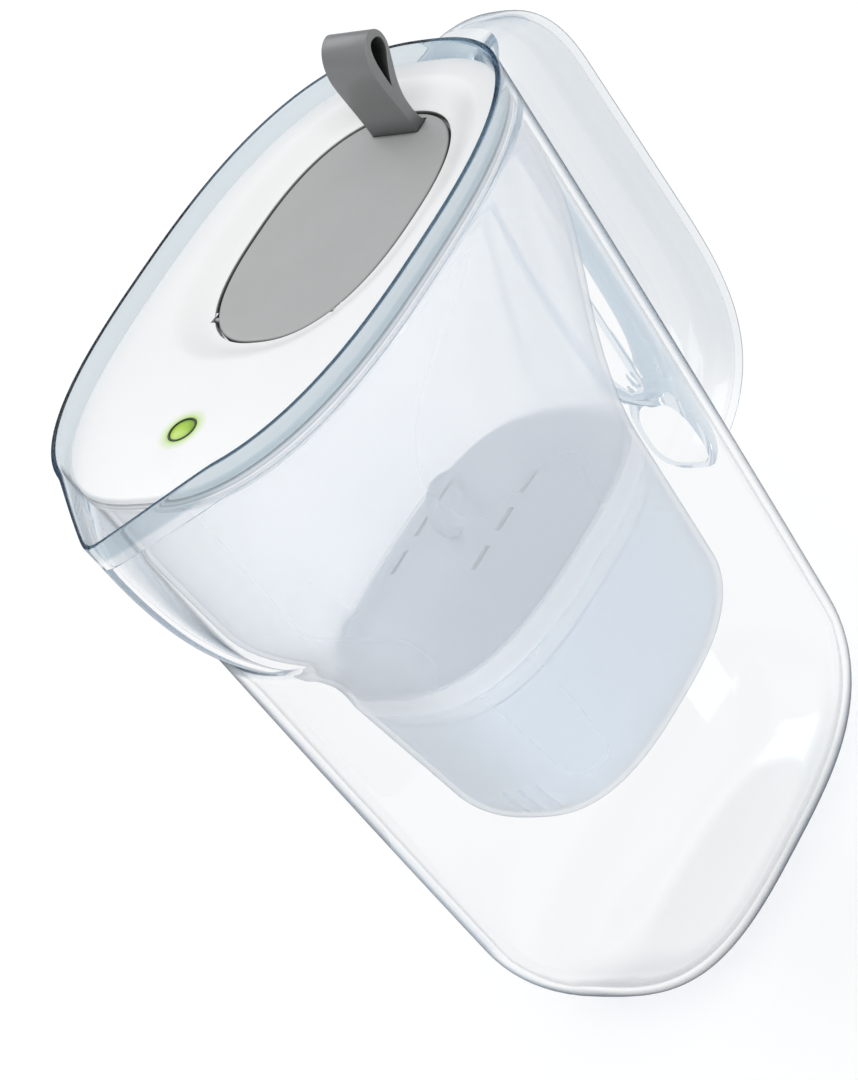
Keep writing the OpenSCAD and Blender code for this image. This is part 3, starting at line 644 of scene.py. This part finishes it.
handleSizes = {
    "reach": 0.0447, "deep": 0.0337, "width": 0.027, "wall": 0.0026, "drop": 0.008, "low": 0.095,
    "rootTop": 0.013, "rootLow": 0.026, "bendTop": 0.040, "bendLow": 0.070, "squareness": 2.8,
    "sunk": 0.0005, "bendLess": 0.006,
    # how far the curves' middle points stand from their ends, out and up or down
    "topPull": (0.025, 0.008), "gripTopPull": (0.009, 0.019), "lowPull": (0.001, 0.036, 0.001),
    "gripLowPull": (0.004, 0.051, 0.041),
    "stations": 30, "straight": 8, "points": 64, "hollowFrom": 9,
}


def handlePath(h=handleSizes, s=jugSizes, w=jugWalls):
    # pairs of an inner and an outer point, from the rim down to the lower root
    outX = s["rimLength"] / 2 + h["reach"]
    gripX = outX - h["deep"]
    top = s["rimHeight"] - h["drop"]
    rootX = s["rimLength"] / 2 - w["wall"] - h["sunk"]
    lowX = jugX(h["low"]) + jugHalf("Length", h["low"]) - w["wall"]
    high = h["low"] + h["rootLow"]
    lowGripX = jugX(high) + jugHalf("Length", high) - s["recessDepth"] - h["sunk"]

    def upper(x, pull, start, bend):
        out, down = h[pull]
        return [start, (start[0] + out, start[1]), (x, top - down), (x, top - bend)]

    def lower(x, pull, end):
        inwards, early, late = h[pull]
        return [(x, h["low"] + h["bendLow"]), (x, h["low"] + early), (x - inwards, h["low"] + late), end]

    outer = (upper(outX, "topPull", (rootX, top), h["bendTop"]), lower(outX, "lowPull", (lowX, h["low"])))
    inner = (upper(gripX, "gripTopPull", (rootX, top - h["rootTop"]), h["bendTop"] - h["bendLess"]),
             lower(gripX, "gripLowPull", (lowGripX, high)))
    steps = np.linspace(0, 1, h["stations"] + 1)
    ends = [(np.array(above[3]), np.array(under[0])) for above, under in (inner, outer)]
    path = [(bezier(inner[0], t), bezier(outer[0], t)) for t in steps]
    path += [tuple(mix(*end, t) for end in ends) for t in np.linspace(0, 1, h["straight"] + 1)[1:-1]]
    return path + [(bezier(inner[1], t), bezier(outer[1], t)) for t in steps]


def handleTube(name, inset, first, h=handleSizes):
    angles = circleAngles(h["points"])
    rings = []
    for inner, outer in handlePath()[first:]:
        middle, span = (inner + outer) / 2, outer - inner
        half = np.linalg.norm(span) / 2
        across = oval(half - inset, h["width"] / 2 - inset, h["squareness"], angles)
        rings.append(inSpace(middle[0] + span[0] / (2 * half) * across[:, 0], across[:, 1],
                             middle[1] + span[1] / (2 * half) * across[:, 0]))
    return loft(name, rings)


def makeJug(s=jugSizes, w=jugWalls):
    top, edge, foot, wall, rimWall = s["rimHeight"], w["rimRound"], s["footHeight"], w["wall"], w["rimWall"]
    ledge = top - w["ledgeDrop"]
    outside = [(z, 0.0) for z in roundLevels(0, foot, w["footRings"]) + levels(foot, top - edge, w["outerRings"])]
    outside += [(top + up, inwards) for inwards, up in roundedEdge(edge)]
    inside = [(z, wall) for z in roundLevels(w["floor"], foot, w["footRings"])
              + levels(foot, ledge - w["ledgeRound"], w["innerRings"])]
    inside += [(ledge - w["ledgeNip"], wall - w["ledgeNip"]), (ledge, wall - w["ledgeRound"]),
               (ledge, rimWall + w["ledgeEase"]), (ledge + w["ledgeEase"], rimWall)]
    inside += [(z, rimWall) for z in levels(ledge + w["ledgeEase"], top - edge, w["rimRings"])]
    inside += [(top - edge * 0.3, rimWall - edge * 0.25), (top + w["ledgeEase"], rimWall - edge),
               (top + w["cutPast"], rimWall - edge)]
    sizes = dict(s, material=looks["clearJug"])
    tree = wallTree(sizes)
    jug = tree.grow(wallStrip("jugBody", outside, 0.0), sizes)
    hollow = tree.grow(wallStrip("jugHollow", inside, w["floor"]), sizes)
    outwards(jug)
    outwards(hollow)
    combine(jug, handleTube("handleOutside", 0.0, 0), "UNION")
    combine(jug, hollow)
    combine(jug, handleTube("handleHollow", handleSizes["wall"], handleSizes["hollowFrom"]))
    smooth(jug)
    place(jug, "clearJug", "jug", "jug")


# Funnel and cartridge

funnelSizes = {
    "wall": 0.0018, "flangeHeight": 0.004, "seatDrop": 0.128, "cupDepth": 0.066, "cupLength": 0.123,
    "cupWidth": 0.0786, "cupX": 0.0007, "cupLean": 0.015, "cupLeanBack": 0.0015, "cupLeanSide": 0.003,
    "cupSquareness": 2.8, "cupRound": 0.017, "cupInFront": 0.009, "cupInBack": 0.022, "cupInSide": 0.012,
    "frontStart": 0.072, "backStart": 0.045, "sideStart": 0.020, "sideEnd": 0.100,
    "bodyIn": 0.0034, "flangeIn": 0.0021, "seatGap": 0.00005, "nip": 0.0002, "edge": 0.0003, "topEdge": 0.0004,
    "footRings": 16, "cupRings": 20, "bodyRings": 60, "cutPast": 0.001, "under": 0.00001,
}
ventSizes = {"y": -0.011, "width": 0.002, "pitch": 0.0055, "height": 0.013, "deep": 0.024, "rows": 3,
             "outletLength": 0.034, "outletWidth": 0.016}
seatZ = jugSizes["rimHeight"] - funnelSizes["seatDrop"]
cupZ = seatZ - funnelSizes["cupDepth"]
roundTop = cupZ + funnelSizes["cupRound"]
cupMiddle = (2 * funnelSizes["cupX"] + funnelSizes["cupLean"]) / 2


def funnelRing(z, inset, low=cupZ, f=funnelSizes, s=jugSizes):
    depth = s["rimHeight"] - z
    down = clamped((seatZ - z) / f["cupDepth"])
    foot = quarterRound(z, low, roundTop)

    def between(start, end):
        return ease((depth - f[start]) / (f[end] - f[start]))

    toFront, toBack = between("frontStart", "seatDrop"), between("backStart", "seatDrop")
    leave = between("sideStart", "sideEnd")
    middle, half = jugX(z), jugHalf("Length", z) - f["bodyIn"]
    front = mix(middle - half, f["cupX"] - f["cupLength"] / 2 + f["cupLean"] * down, toFront)
    back = mix(middle + half, f["cupX"] + f["cupLength"] / 2 - f["cupLeanBack"] * down, toBack)
    front = front + inset + foot * (f["cupInFront"] - inset)
    back = back - inset - foot * (f["cupInBack"] - inset)
    halfWidth = mix(jugHalf("Width", z) - f["bodyIn"], f["cupWidth"] / 2 - f["cupLeanSide"] * down, leave)
    halfWidth = halfWidth - inset - foot * (f["cupInSide"] - inset)
    a = (back - front) / 2
    p = oval(a, halfWidth, mix(jugSquareness(z), f["cupSquareness"], leave), turns())
    y = p[:, 1] * (1 - s["baseTaper"] * (1 - z / s["rimHeight"]) * (1 - leave) * p[:, 0] / a)
    backIn = (p[:, 0] > 0) * recessIn(y, z) * (1 - toBack)
    return inSpace((front + back) / 2 + p[:, 0] - backIn, y, z)


def plainJugRing(z, inset, at=None):
    # the jug's outline at a height, without spout and recess, drawn there or at another height
    x, y, unused = jugPoint(turns(), z, inset, 0.0, shaped=0.0)
    return inSpace(x, y, z if at is None else at)


def cutSlots(piece, material, middle, slot, count=(1, 1), pitch=(0.0, 0.0)):
    # cuts rows of slots through a shell
    sizes = {"columns": count[0], "rows": count[1], "pitchX": pitch[0], "pitchY": pitch[1], "material": material}
    for index, axis in enumerate("XYZ"):
        sizes["middle" + axis], sizes["slot" + axis] = float(middle[index]), float(slot[index])
    tree = Tree("slotRows", sizes)
    given, grid = tree.given, {}
    for axis, number in (("X", "columns"), ("Y", "rows")):
        grid["Vertices " + axis] = given[number]
        grid["Size " + axis] = ((tree.field(number) - 1) * tree.field("pitch" + axis)).socket
    size, centre = (tree.vector(*(given[key + axis] for axis in "XYZ")) for key in ("slot", "middle"))
    box = tree.add("GeometryNodeMeshCube", {"Size": size})
    points = tree.add("GeometryNodeMeshGrid", grid)
    spots = tree.add("GeometryNodeInstanceOnPoints", {"Points": points, "Instance": box})
    real = tree.add("GeometryNodeRealizeInstances", {0: spots})
    cutters = tree.add("GeometryNodeTransform", {"Geometry": real, "Translation": centre})
    tree.end(tree.add("GeometryNodeMeshBoolean", {"Mesh 1": given["Geometry"], "Mesh 2": cutters},
                      operation="DIFFERENCE", solver="MANIFOLD"))
    tree.grow(piece, sizes)


def makeFunnel(f=funnelSizes, v=ventSizes):
    low = jugSizes["rimHeight"] - jugWalls["ledgeDrop"] + f["seatGap"]
    top = low + f["flangeHeight"]
    wall, flangeIn = f["wall"], f["flangeIn"]

    def heights(start, end):
        return (roundLevels(start, roundTop, f["footRings"]) + levels(roundTop, seatZ, f["cupRings"])
                + levels(seatZ, end, f["bodyRings"]))

    rings = [funnelRing(z, 0.0) for z in heights(cupZ, low - f["under"])]
    rings += [plainJugRing(low, flangeIn + f["nip"]), plainJugRing(low + f["edge"], flangeIn),
              plainJugRing(top - f["topEdge"], flangeIn), plainJugRing(top, flangeIn + f["topEdge"])]
    rings += [funnelRing(top, wall - f["edge"])]
    rings += [funnelRing(z, wall, cupZ + wall) for z in reversed(heights(cupZ + wall, top - f["edge"]))]
    funnel = loft("funnelBody", rings)
    hole = oval(v["outletLength"] / 2, v["outletWidth"] / 2, 2, circleAngles(roundPoints))
    combine(funnel, loft("outlet", [inSpace(hole[:, 0] + cupMiddle, hole[:, 1], cupZ + z)
                                    for z in (-f["cutPast"], wall + f["cutPast"])]))
    frontX = f["cupX"] - f["cupLength"] / 2 + f["cupLean"]
    cutSlots(funnel, looks["frostedFunnel"], (frontX, v["y"], roundTop), (v["deep"], v["width"], v["height"]),
             (1, v["rows"]), (0.0, v["pitch"]))
    smooth(funnel)
    place(funnel, "frostedFunnel", "funnel", "funnel")


cartridgeSizes = {
    "wall": 0.0015, "gap": 0.0005, "lift": 0.0003, "edge": 0.0003, "topEdge": 0.0004,
    "sealHeight": 0.006, "sealPlay": 0.001, "collarTop": 0.002, "grooveDeep": 0.0013, "collarRun": 0.0015,
    "footRings": 14, "cupRings": 16, "innerRings": 12,
    "outletSlot": 0.003, "outletLong": 0.012, "outletDeep": 0.006, "outlets": 5,
    "domeHeight": 0.020, "domeIn": 0.026, "domeRings": 22, "ringRadius": 0.010, "ringThick": 0.004,
    "ringWide": 0.003, "ringSunk": 0.0032,
    "inletSlot": 0.002, "inletLong": 0.010, "inletHigh": 1.05, "inlets": (3, 2), "inletPitch": (0.016, 0.032),
    # the pull ring's section, in shares of its width and thickness
    "section": ((0, -0.3), (0, 0.3), (0.2, 0.5), (0.8, 0.5), (1, 0.3), (1, -0.3), (0.8, -0.5), (0.2, -0.5)),
}


def makeCartridgeCup(c=cartridgeSizes, f=funnelSizes):
    inset = f["wall"] + c["gap"]
    low = cupZ + f["wall"] + c["lift"]
    grooveTop = seatZ - c["collarTop"]
    grooveLow = grooveTop - c["sealHeight"] - c["sealPlay"]
    grooveIn = inset + c["grooveDeep"]
    collarIn = grooveIn + c["wall"]
    collarLow = grooveLow - c["collarTop"]
    wall, edge, topEdge = c["wall"], c["edge"], c["topEdge"]
    rings = [funnelRing(z, inset, low) for z in roundLevels(low, roundTop, c["footRings"])]
    rings += [funnelRing(z, inset) for z in levels(roundTop, grooveLow, c["cupRings"])]
    rings += [funnelRing(*spot) for spot in (
        (grooveLow + edge, grooveIn), (grooveTop - edge, grooveIn), (grooveTop, inset), (seatZ - topEdge, inset),
        (seatZ, inset + topEdge), (seatZ, collarIn), (collarLow, collarIn),
        (collarLow - c["collarRun"], inset + wall))]
    rings += [funnelRing(z, inset + wall)
              for z in reversed(levels(roundTop, collarLow - c["collarTop"], c["innerRings"]))]
    rings += [funnelRing(z, inset + wall, low + wall)
              for z in reversed(roundLevels(low + wall, roundTop, c["footRings"]))]
    cup = loft("cartridgeCupShell", rings)
    cutSlots(cup, looks["cartridgeWhite"], (cupMiddle, 0.0, low),
             (c["outletSlot"], c["outletLong"], c["outletDeep"]), (c["outlets"], 1), (2 * c["outletSlot"], 0.0))
    smooth(cup)
    place(cup, "cartridgeWhite", "cartridge", "cartridge_cup")


def makeCartridgeTop(c=cartridgeSizes, f=funnelSizes):
    base = seatZ + f["seatGap"]

    def domeRing(u, more):
        ring = funnelRing(seatZ, f["wall"] + c["gap"] + more + c["domeIn"] * (1 - math.cos(math.pi / 2 * u)))
        ring[:, 2] = base + (c["domeHeight"] - more) * math.sin(math.pi / 2 * u)
        return ring

    steps = np.linspace(0, 1, c["domeRings"])
    top = loft("cartridgeTopShell", [domeRing(u, c["wall"]) for u in reversed(steps)]
               + [domeRing(u, 0.0) for u in steps])
    ringZ = base + c["domeHeight"] + c["ringRadius"] - c["ringSunk"]
    profile = [(c["ringRadius"] - c["ringWide"] + r * c["ringWide"], y * c["ringThick"]) for r, y in c["section"]]
    angles = circleAngles(roundPoints)
    ring = [inSpace(f["cupX"] + r * np.cos(angles), y, ringZ + r * np.sin(angles)) for r, y in profile]
    combine(top, loft("pullRing", ring, closed=True), "UNION")
    cutSlots(top, looks["cartridgeTop"], (f["cupX"], 0.0, seatZ + c["domeHeight"] * c["inletHigh"]),
             (c["inletLong"], c["inletSlot"], c["domeHeight"]), c["inlets"], c["inletPitch"])
    smooth(top)
    place(top, "cartridgeTop", "cartridge", "cartridge_top")


# Lid, flap and tab

lidSizes = {
    "drop": 0.0059, "wall": 0.002, "inset": 0.0026, "dishWidth": 0.012, "dishRings": 25, "gap": 0.0009,
    "edgeRound": 0.0009, "edgeTurns": (18, 36, 54, 72, 90), "baseGap": 0.0001,
    "lip": 0.0002, "lipEase": 0.0002, "lipIn": 0.00005, "lipNip": 0.0001, "lipLow": 0.0003,
    "bossThick": 0.003, "bossLength": 0.0048, "bossUnder": 0.0006, "bossDrop": 0.0004, "bossAway": 0.0005,
    "relief": 0.0022, "reliefBack": 0.0005, "cutPast": 0.001, "bore": 0.00105, "borePast": 0.0004,
}
flapSizes = {
    "x": 0.0251, "length": 0.0976, "width": 0.0614, "squareness": 2.46, "thick": 0.0026, "drop": 0.0102,
    "hingeIn": 0.0117, "sag": 0.0009, "sagRings": 17, "edge": 0.0008, "lowEdge": 0.0006, "nip": 0.0002,
    "middleIn": 0.024, "stubRadius": 0.001, "stubLength": 0.0032, "stubSunk": 0.002,
    "cutPast": 0.002,
}
lightSizes = {"x": 0.065, "lens": 0.0042, "ring": 0.00065, "gap": 0.00005}

lidZ = jugSizes["rimHeight"] - lidSizes["drop"]
lidLow = jugSizes["rimHeight"] - jugWalls["ledgeDrop"] + funnelSizes["flangeHeight"] + lidSizes["baseGap"]
flapZ = jugSizes["rimHeight"] - flapSizes["drop"]
flapLow = flapZ - flapSizes["thick"]
lipZ = flapZ + lidSizes["lip"]
hingeX = flapSizes["x"] - flapSizes["length"] / 2 + flapSizes["hingeIn"]
hingeZ = flapLow + flapSizes["thick"] / 2
halfLength, halfWidth = flapSizes["length"] / 2, flapSizes["width"] / 2
hingeHalf = halfWidth * (1 - ((halfLength - flapSizes["hingeIn"]) / halfLength) ** flapSizes["squareness"]) ** (
    1 / flapSizes["squareness"])


def flapRing(more, z, f=flapSizes):
    p = oval(f["length"] / 2 + more, f["width"] / 2 + more, f["squareness"], turns())
    return inSpace(f["x"] + p[:, 0], p[:, 1], z)


def hingeRod(name, side, reach, radius, f=flapSizes):
    return rod(name, *((hingeX, side * y, hingeZ) for y in (hingeHalf - f["stubSunk"], hingeHalf + reach)), radius)


def makeLid(d=lidSizes, g=lightSizes):
    def topZ(u):
        return lipZ + (lidZ - lipZ) * ease(u)

    inset, edge, gap = d["inset"], d["edgeRound"], d["gap"]
    rings = [plainJugRing(lidZ, inset, lidLow), plainJugRing(lidZ, inset, lidZ - edge)]
    rings += [plainJugRing(lidZ, inset + inwards, lidZ + up) for inwards, up in roundedEdge(edge, d["edgeTurns"])]
    steps = np.linspace(1, 0, d["dishRings"])
    rings += [flapRing(gap + d["dishWidth"] * u, topZ(u)) for u in steps[:-1]]
    rings += [flapRing(gap + d["lipEase"], lipZ), flapRing(gap + d["lipIn"], lipZ - d["lipNip"]),
              flapRing(gap, lipZ - d["lipLow"]), flapRing(gap, lipZ - d["wall"])]
    rings += [flapRing(gap + d["dishWidth"] * u, topZ(u) - d["wall"]) for u in reversed(steps[1:-1])]
    rings += [flapRing(gap + d["dishWidth"], lidLow)]
    lid = loft("lidTopShell", rings, closed=True)
    bossLow, bossTop = flapLow - d["bossUnder"], lipZ - d["bossDrop"]
    bossY, bossHalf = hingeHalf + gap + d["bossAway"], d["bossLength"] / 2
    for side in (-1, 1):
        near, far = sorted((side * bossY, side * (bossY + d["bossThick"])))
        combine(lid, block("boss", (hingeX - bossHalf, near, bossLow), (hingeX + bossHalf, far, bossTop)), "UNION")
    combine(lid, block("relief", (hingeX - d["relief"], -bossY, bossLow),
                       (hingeX + d["reliefBack"], bossY, lidZ + d["cutPast"])))
    for side in (-1, 1):
        combine(lid, hingeRod("bore", side, flapSizes["stubLength"] + d["borePast"], d["bore"]))
    combine(lid, rod("lightHole", (-g["x"], 0, lidLow - d["cutPast"]), (-g["x"], 0, lidZ + d["cutPast"]),
                     g["lens"] + 2 * g["gap"] + g["ring"], roundPoints))
    smooth(lid)
    place(lid, "whiteLid", "lid", "lid_top")


tabSizes = {
    "width": 0.018, "deep": 0.0122, "height": 0.034, "x": 0.0419, "sink": 0.001, "play": 0.0001, "lift": 0.00005,
    "footFront": -0.16, "footBack": 0.34, "edge": 0.0006, "edgeSteps": 3, "edgeFrom": 50, "steps": 18,
    # curves as (start, middle point, middle point), in shares of depth and height; each ends where the next starts
    "outline": (((-0.16, 0), (-0.2, 0.27), (-0.27, 0.42)), ((-0.31, 0.6), (-0.38, 0.83), (-0.04, 1)),
                ((0.35, 1), (0.64, 1), (0.8, 0.87)), ((0.61, 0.74), (0.37, 0.57), (0.13, 0.46)),
                ((0.13, 0.28), (0.13, 0.15), (0.19, 0.06)), ((0.34, 0),)),
    "eye": (((-0.01, 0.5), (-0.03, 0.65), (-0.05, 0.92)), ((0.27, 0.925), (0.67, 0.925), (0.62, 0.79)),
            ((0.41, 0.72), (0.27, 0.66), (0.09, 0.57)), ((-0.01, 0.5),)),
}


def tabAt(x, z, t=tabSizes):
    return flapSizes["x"] + t["x"] + x * t["deep"], flapZ - t["sink"] + z * (t["height"] + t["sink"])


def curvesThrough(curves, t=tabSizes):
    line = []
    for curve, following in zip(curves, curves[1:]):
        points = [tabAt(*p) for p in (*curve, following[0])]
        line += [bezier(points, i / t["steps"]) for i in range(t["steps"])]
    return line


def makeTab(t=tabSizes):
    outline = curvesThrough(t["outline"]) + [tabAt(t["footBack"], 0)]
    work = bmesh.new()
    edges = []
    for line in (outline, curvesThrough(t["eye"])):
        points = [work.verts.new((p[0], -t["width"] / 2, p[1])) for p in line]
        edges += [work.edges.new((points[i], points[(i + 1) % len(points)])) for i in range(len(points))]
    bmesh.ops.triangle_fill(work, edges=edges, use_beauty=True)
    grown = bmesh.ops.extrude_face_region(work, geom=list(work.faces))["geom"]
    moved = [part for part in grown if isinstance(part, bmesh.types.BMVert)]
    bmesh.ops.translate(work, verts=moved, vec=(0, t["width"], 0))
    bmesh.ops.recalc_face_normals(work, faces=work.faces)
    tab = newPiece("tabStrap", [], [])
    work.to_mesh(tab.data)
    work.free()
    rounding = tab.modifiers.new("edges", "BEVEL")
    rounding.width = t["edge"]
    rounding.segments = t["edgeSteps"]
    rounding.limit_method = "ANGLE"
    rounding.angle_limit = math.radians(t["edgeFrom"])
    settle(tab)
    smooth(tab, 40)
    place(tab, "greyTab", "flap", "flap_tab")


def makeFlap(f=flapSizes, t=tabSizes):
    edge, nip = f["edge"], f["nip"]
    rings = [flapRing(*spot) for spot in (
        (-f["middleIn"], flapLow), (-f["lowEdge"], flapLow), (-nip, flapLow + nip), (0, flapLow + f["lowEdge"]),
        (0, flapZ - edge))]
    rings += [flapRing(-inwards, flapZ + up) for inwards, up in roundedEdge(edge)]
    rings += [flapRing(-edge - (f["middleIn"] - edge) * u, flapZ - f["sag"] * ease(u))
              for u in np.linspace(0, 1, f["sagRings"])[1:]]
    flap = loft("flapPlate", rings)
    front, back = tabAt(t["footFront"], 0), tabAt(t["footBack"], 0)
    half = t["width"] / 2 + t["play"]
    combine(flap, block("pocket", (front[0] - t["play"], -half, front[1] - t["lift"]),
                        (back[0] + t["play"], half, flapZ + f["cutPast"])))
    for side in (-1, 1):
        combine(flap, hingeRod("stub", side, f["stubLength"], f["stubRadius"]), "UNION")
    smooth(flap)
    place(flap, "greyFlap", "flap", "flap")


lensX = -lightSizes["x"]
looks = {"clearJug": clearPlastic("clearJug"), "frostedFunnel": frostedPlastic("frostedFunnel")}
# the lid, flap and tab get painted shade in their gaps and corners
for name, colour, roughness, more in (
        # the lid's lime glow round the lens is painted light
        ("whiteLid", (0.89,) * 3, 0.36, {
            "mottle": 0.012, "grain": 0.0006, "depth": 0.000012, "creaseShade": (0.0045, 0.06, 0.2611),
            "glow": (lensX, 0.0, 0.0049, 0.0085, (0.50, 0.80, 0.12))}),
        ("greyFlap", (0.42,) * 3, 0.5, {
            "grain": 0.0005, "depth": 0.00003, "shine": 0.35, "creaseShade": (0.0022, 0.15, 0.3)}),
        ("greyTab", (0.165, 0.165, 0.167), 0.34, {
            "mottle": 0.04, "grain": 0.0005, "depth": 0.000006, "shine": 0.9, "creaseShade": (0.011, 0.05, 0.3)}),
        ("cartridgeWhite", (0.72, 0.80, 0.87), 0.4, {"mottle": 0.02, "grain": 0.0006}),
        ("cartridgeTop", (0.42, 0.46, 0.52), 0.4, {"grain": 0.0006})):
    looks[name] = mouldedPlastic(name, colour, roughness, **more)
makeJug()
makeFunnel()
makeCartridgeCup()
makeCartridgeTop()
makeLid()
makeFlap()
makeTab()

# Small pieces that keep their CAD shape: node, look, colour, roughness and what else the look takes
# painted glow: the lens is light round an off-centre spot and darker towards its rim
lensPaintedGlow = (lensX - 0.001, 0.001, 0.0048, 0.0015, (0.50, 0.62, 0.5))
brass, paleWhite, caseWhite = (0.78, 0.66, 0.38), (0.80,) * 3, (0.74,) * 3
nodeLooks = (
    ("lid_base", "lidBaseWhite", (0.87, 0.87, 0.875), 0.42, {"mottle": 0.015}),
    ("indicator_lens", "limeLens", (0.44, 0.68, 0.03), 0.18,
     {"mottle": 0.06, "grain": 0.0009, "depth": 0.00003, "shine": 0.6, "glow": lensPaintedGlow}),
    ("indicator_bezel", "blackTrim", (0.02, 0.025, 0.015), 0.4, {"mottle": 0.1}),
    ("indicator_dome", "springRubber", (0.05, 0.052, 0.055), 0.6, {"mottle": 0.1}),
    ("indicator_cap", "caseWhite", caseWhite, 0.45, {}),
    ("indicator_case", "caseWhiteLow", caseWhite, 0.45, {}),
    ("indicator_seal", "sealRubber", (0.02, 0.02, 0.022), 0.55, {"mottle": 0.12}),
    ("indicator_board", "boardGreen", (0.02, 0.12, 0.04), 0.35, {"mottle": 0.12}),
    ("indicator_led", "ledYellow", (0.85, 0.85, 0.55), 0.25, {"mottle": 0.04}),
    ("indicator_contact_upper", "contactBrassUpper", brass, 0.3, {"stretch": (1, 12, 1)}),
    ("indicator_contact_lower", "contactBrassLower", brass, 0.3, {"stretch": (1, 12, 1)}),
    ("indicator_cell", "cellSteel", (0.72, 0.73, 0.75), 0.26, {"stretch": (1, 1, 14)}),
    ("cartridge_seal", "sealWhite", (0.82, 0.86, 0.90), 0.5, {"mottle": 0.02}),
    ("cartridge_mesh_upper", "sieveUpperWhite", paleWhite, 0.5, {"mottle": 0.04}),
    ("cartridge_mesh_lower", "sieveLowerWhite", paleWhite, 0.5, {"mottle": 0.04}),
    ("cartridge_fill", "filterGrains", (0.45, 0.40, 0.26), 0.8,
     {"mottle": 0.35, "grain": 0.0012, "depth": 0.0003, "shine": 0.2}),
)
for key, name, colour, roughness, more in nodeLooks:
    make = brushedMetal if "stretch" in more else mouldedPlastic
    dress(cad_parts[key], make(name, colour, roughness, **more))
print("looks set on", len(nodeLooks), "nodes")


# Floor, light and camera

studio = {
    "floorSize": 6.0, "floorZ": -0.0003, "floorTones": (0.79, 0.81), "floorGlow": 0.45,
    "floorLit": 0.60, "floorThrough": 1.0, "skyEven": (0.72,) * 3,
    # tones of the sky from below to above, as the object mirrors it
    "sky": ((0.0, (0.75, 0.78, 0.82)), (0.25, (0.40, 0.48, 0.56)), (0.62, (0.80, 0.83, 0.86)),
            (1.0, (0.80, 0.83, 0.86))),
    # place, width and power of each lamp
    "lamps": (((-1.3, -0.9, 1.9), 1.3, 8.0), ((-0.7, -2.1, 0.9), 1.5, 12.0), ((0.4, 1.5, 1.7), 1.4, 10.0)),
    "aim": (0.0, 0.0, 0.14),
    "cameraPlace": (-1.08162, -1.30120, 1.15731), "cameraTurn": (0.947957, 0.518479, -1.029126),
    "cameraLens": 218.87, "cameraSensor": 36.0, "cameraFar": 20,
}


def makeFloor(v=studio):
    half, z = v["floorSize"] / 2, v["floorZ"]
    floor = newPiece("studioFloor", [(-half, -half, z), (half, -half, z), (half, half, z), (-half, half, z)],
                     [(0, 1, 2, 3)])
    # the camera sees a lit sheet with an even glow, clear plastic sees it bright, and the rest is plain paper
    s = Shader("studioPaper")
    lit = s.add("BsdfDiffuse", {"Color": (v["floorLit"],) * 3 + (1,)})
    glow, bright = (s.add("Emission", {"Strength": v[key]}) for key in ("floorGlow", "floorThrough"))
    both = s.add("AddShader", {0: lit, 1: glow})
    tone = s.drift(s.noise(6, 3), *((tone,) * 3 for tone in v["floorTones"]))
    paper = s.add("BsdfDiffuse", {"Color": tone})
    bent = s.calc("MAXIMUM", s.rays["Is Glossy Ray"], s.rays["Is Transmission Ray"])
    surface = s.choose(s.rays["Is Camera Ray"], paper, both)
    floor.data.materials.append(s.finish(s.choose(bent, surface, bright)))


def makeSky(v=studio):
    # white to the camera, shaded in mirrored light, even in diffuse light
    s = Shader("studioWorld", "world")
    bpy.context.scene.world = s.owner
    mirrored, even, seen = (s.add("Background", {"Color": colour}) for colour in (
        s.tones(s.axis("Z", "Generated"), v["sky"]), (*v["skyEven"], 1), (*white, 1)))
    shaped = s.choose(s.rays["Is Diffuse Ray"], mirrored, even)
    s.finish(s.choose(s.rays["Is Camera Ray"], shaped, seen))


def makeLamps(v=studio):
    for count, (spot, size, power) in enumerate(v["lamps"]):
        lamp = bpy.data.lights.new(f"softBox{count + 1}", "AREA")
        lamp.shape = "SQUARE"
        lamp.size = size
        lamp.energy = power
        holder = inScene(lamp)
        holder.location = spot
        towards = np.subtract(v["aim"], spot)
        flat = math.hypot(*towards[:2])
        holder.rotation_euler = (math.pi / 2 + math.atan2(towards[2], flat), 0,
                                 math.atan2(towards[1], towards[0]) - math.pi / 2)


def makeCamera(v=studio):
    lens = bpy.data.cameras.new("photoCamera")
    lens.sensor_fit = "VERTICAL"
    lens.sensor_height = v["cameraSensor"]
    lens.lens = v["cameraLens"]
    lens.clip_end = v["cameraFar"]
    camera = inScene(lens)
    camera.location = v["cameraPlace"]
    camera.rotation_euler = v["cameraTurn"]
    bpy.context.scene.camera = camera
    bpy.context.scene.view_settings.view_transform = "Standard"


makeFloor()
makeSky()
makeLamps()
makeCamera()
print("studio ready")
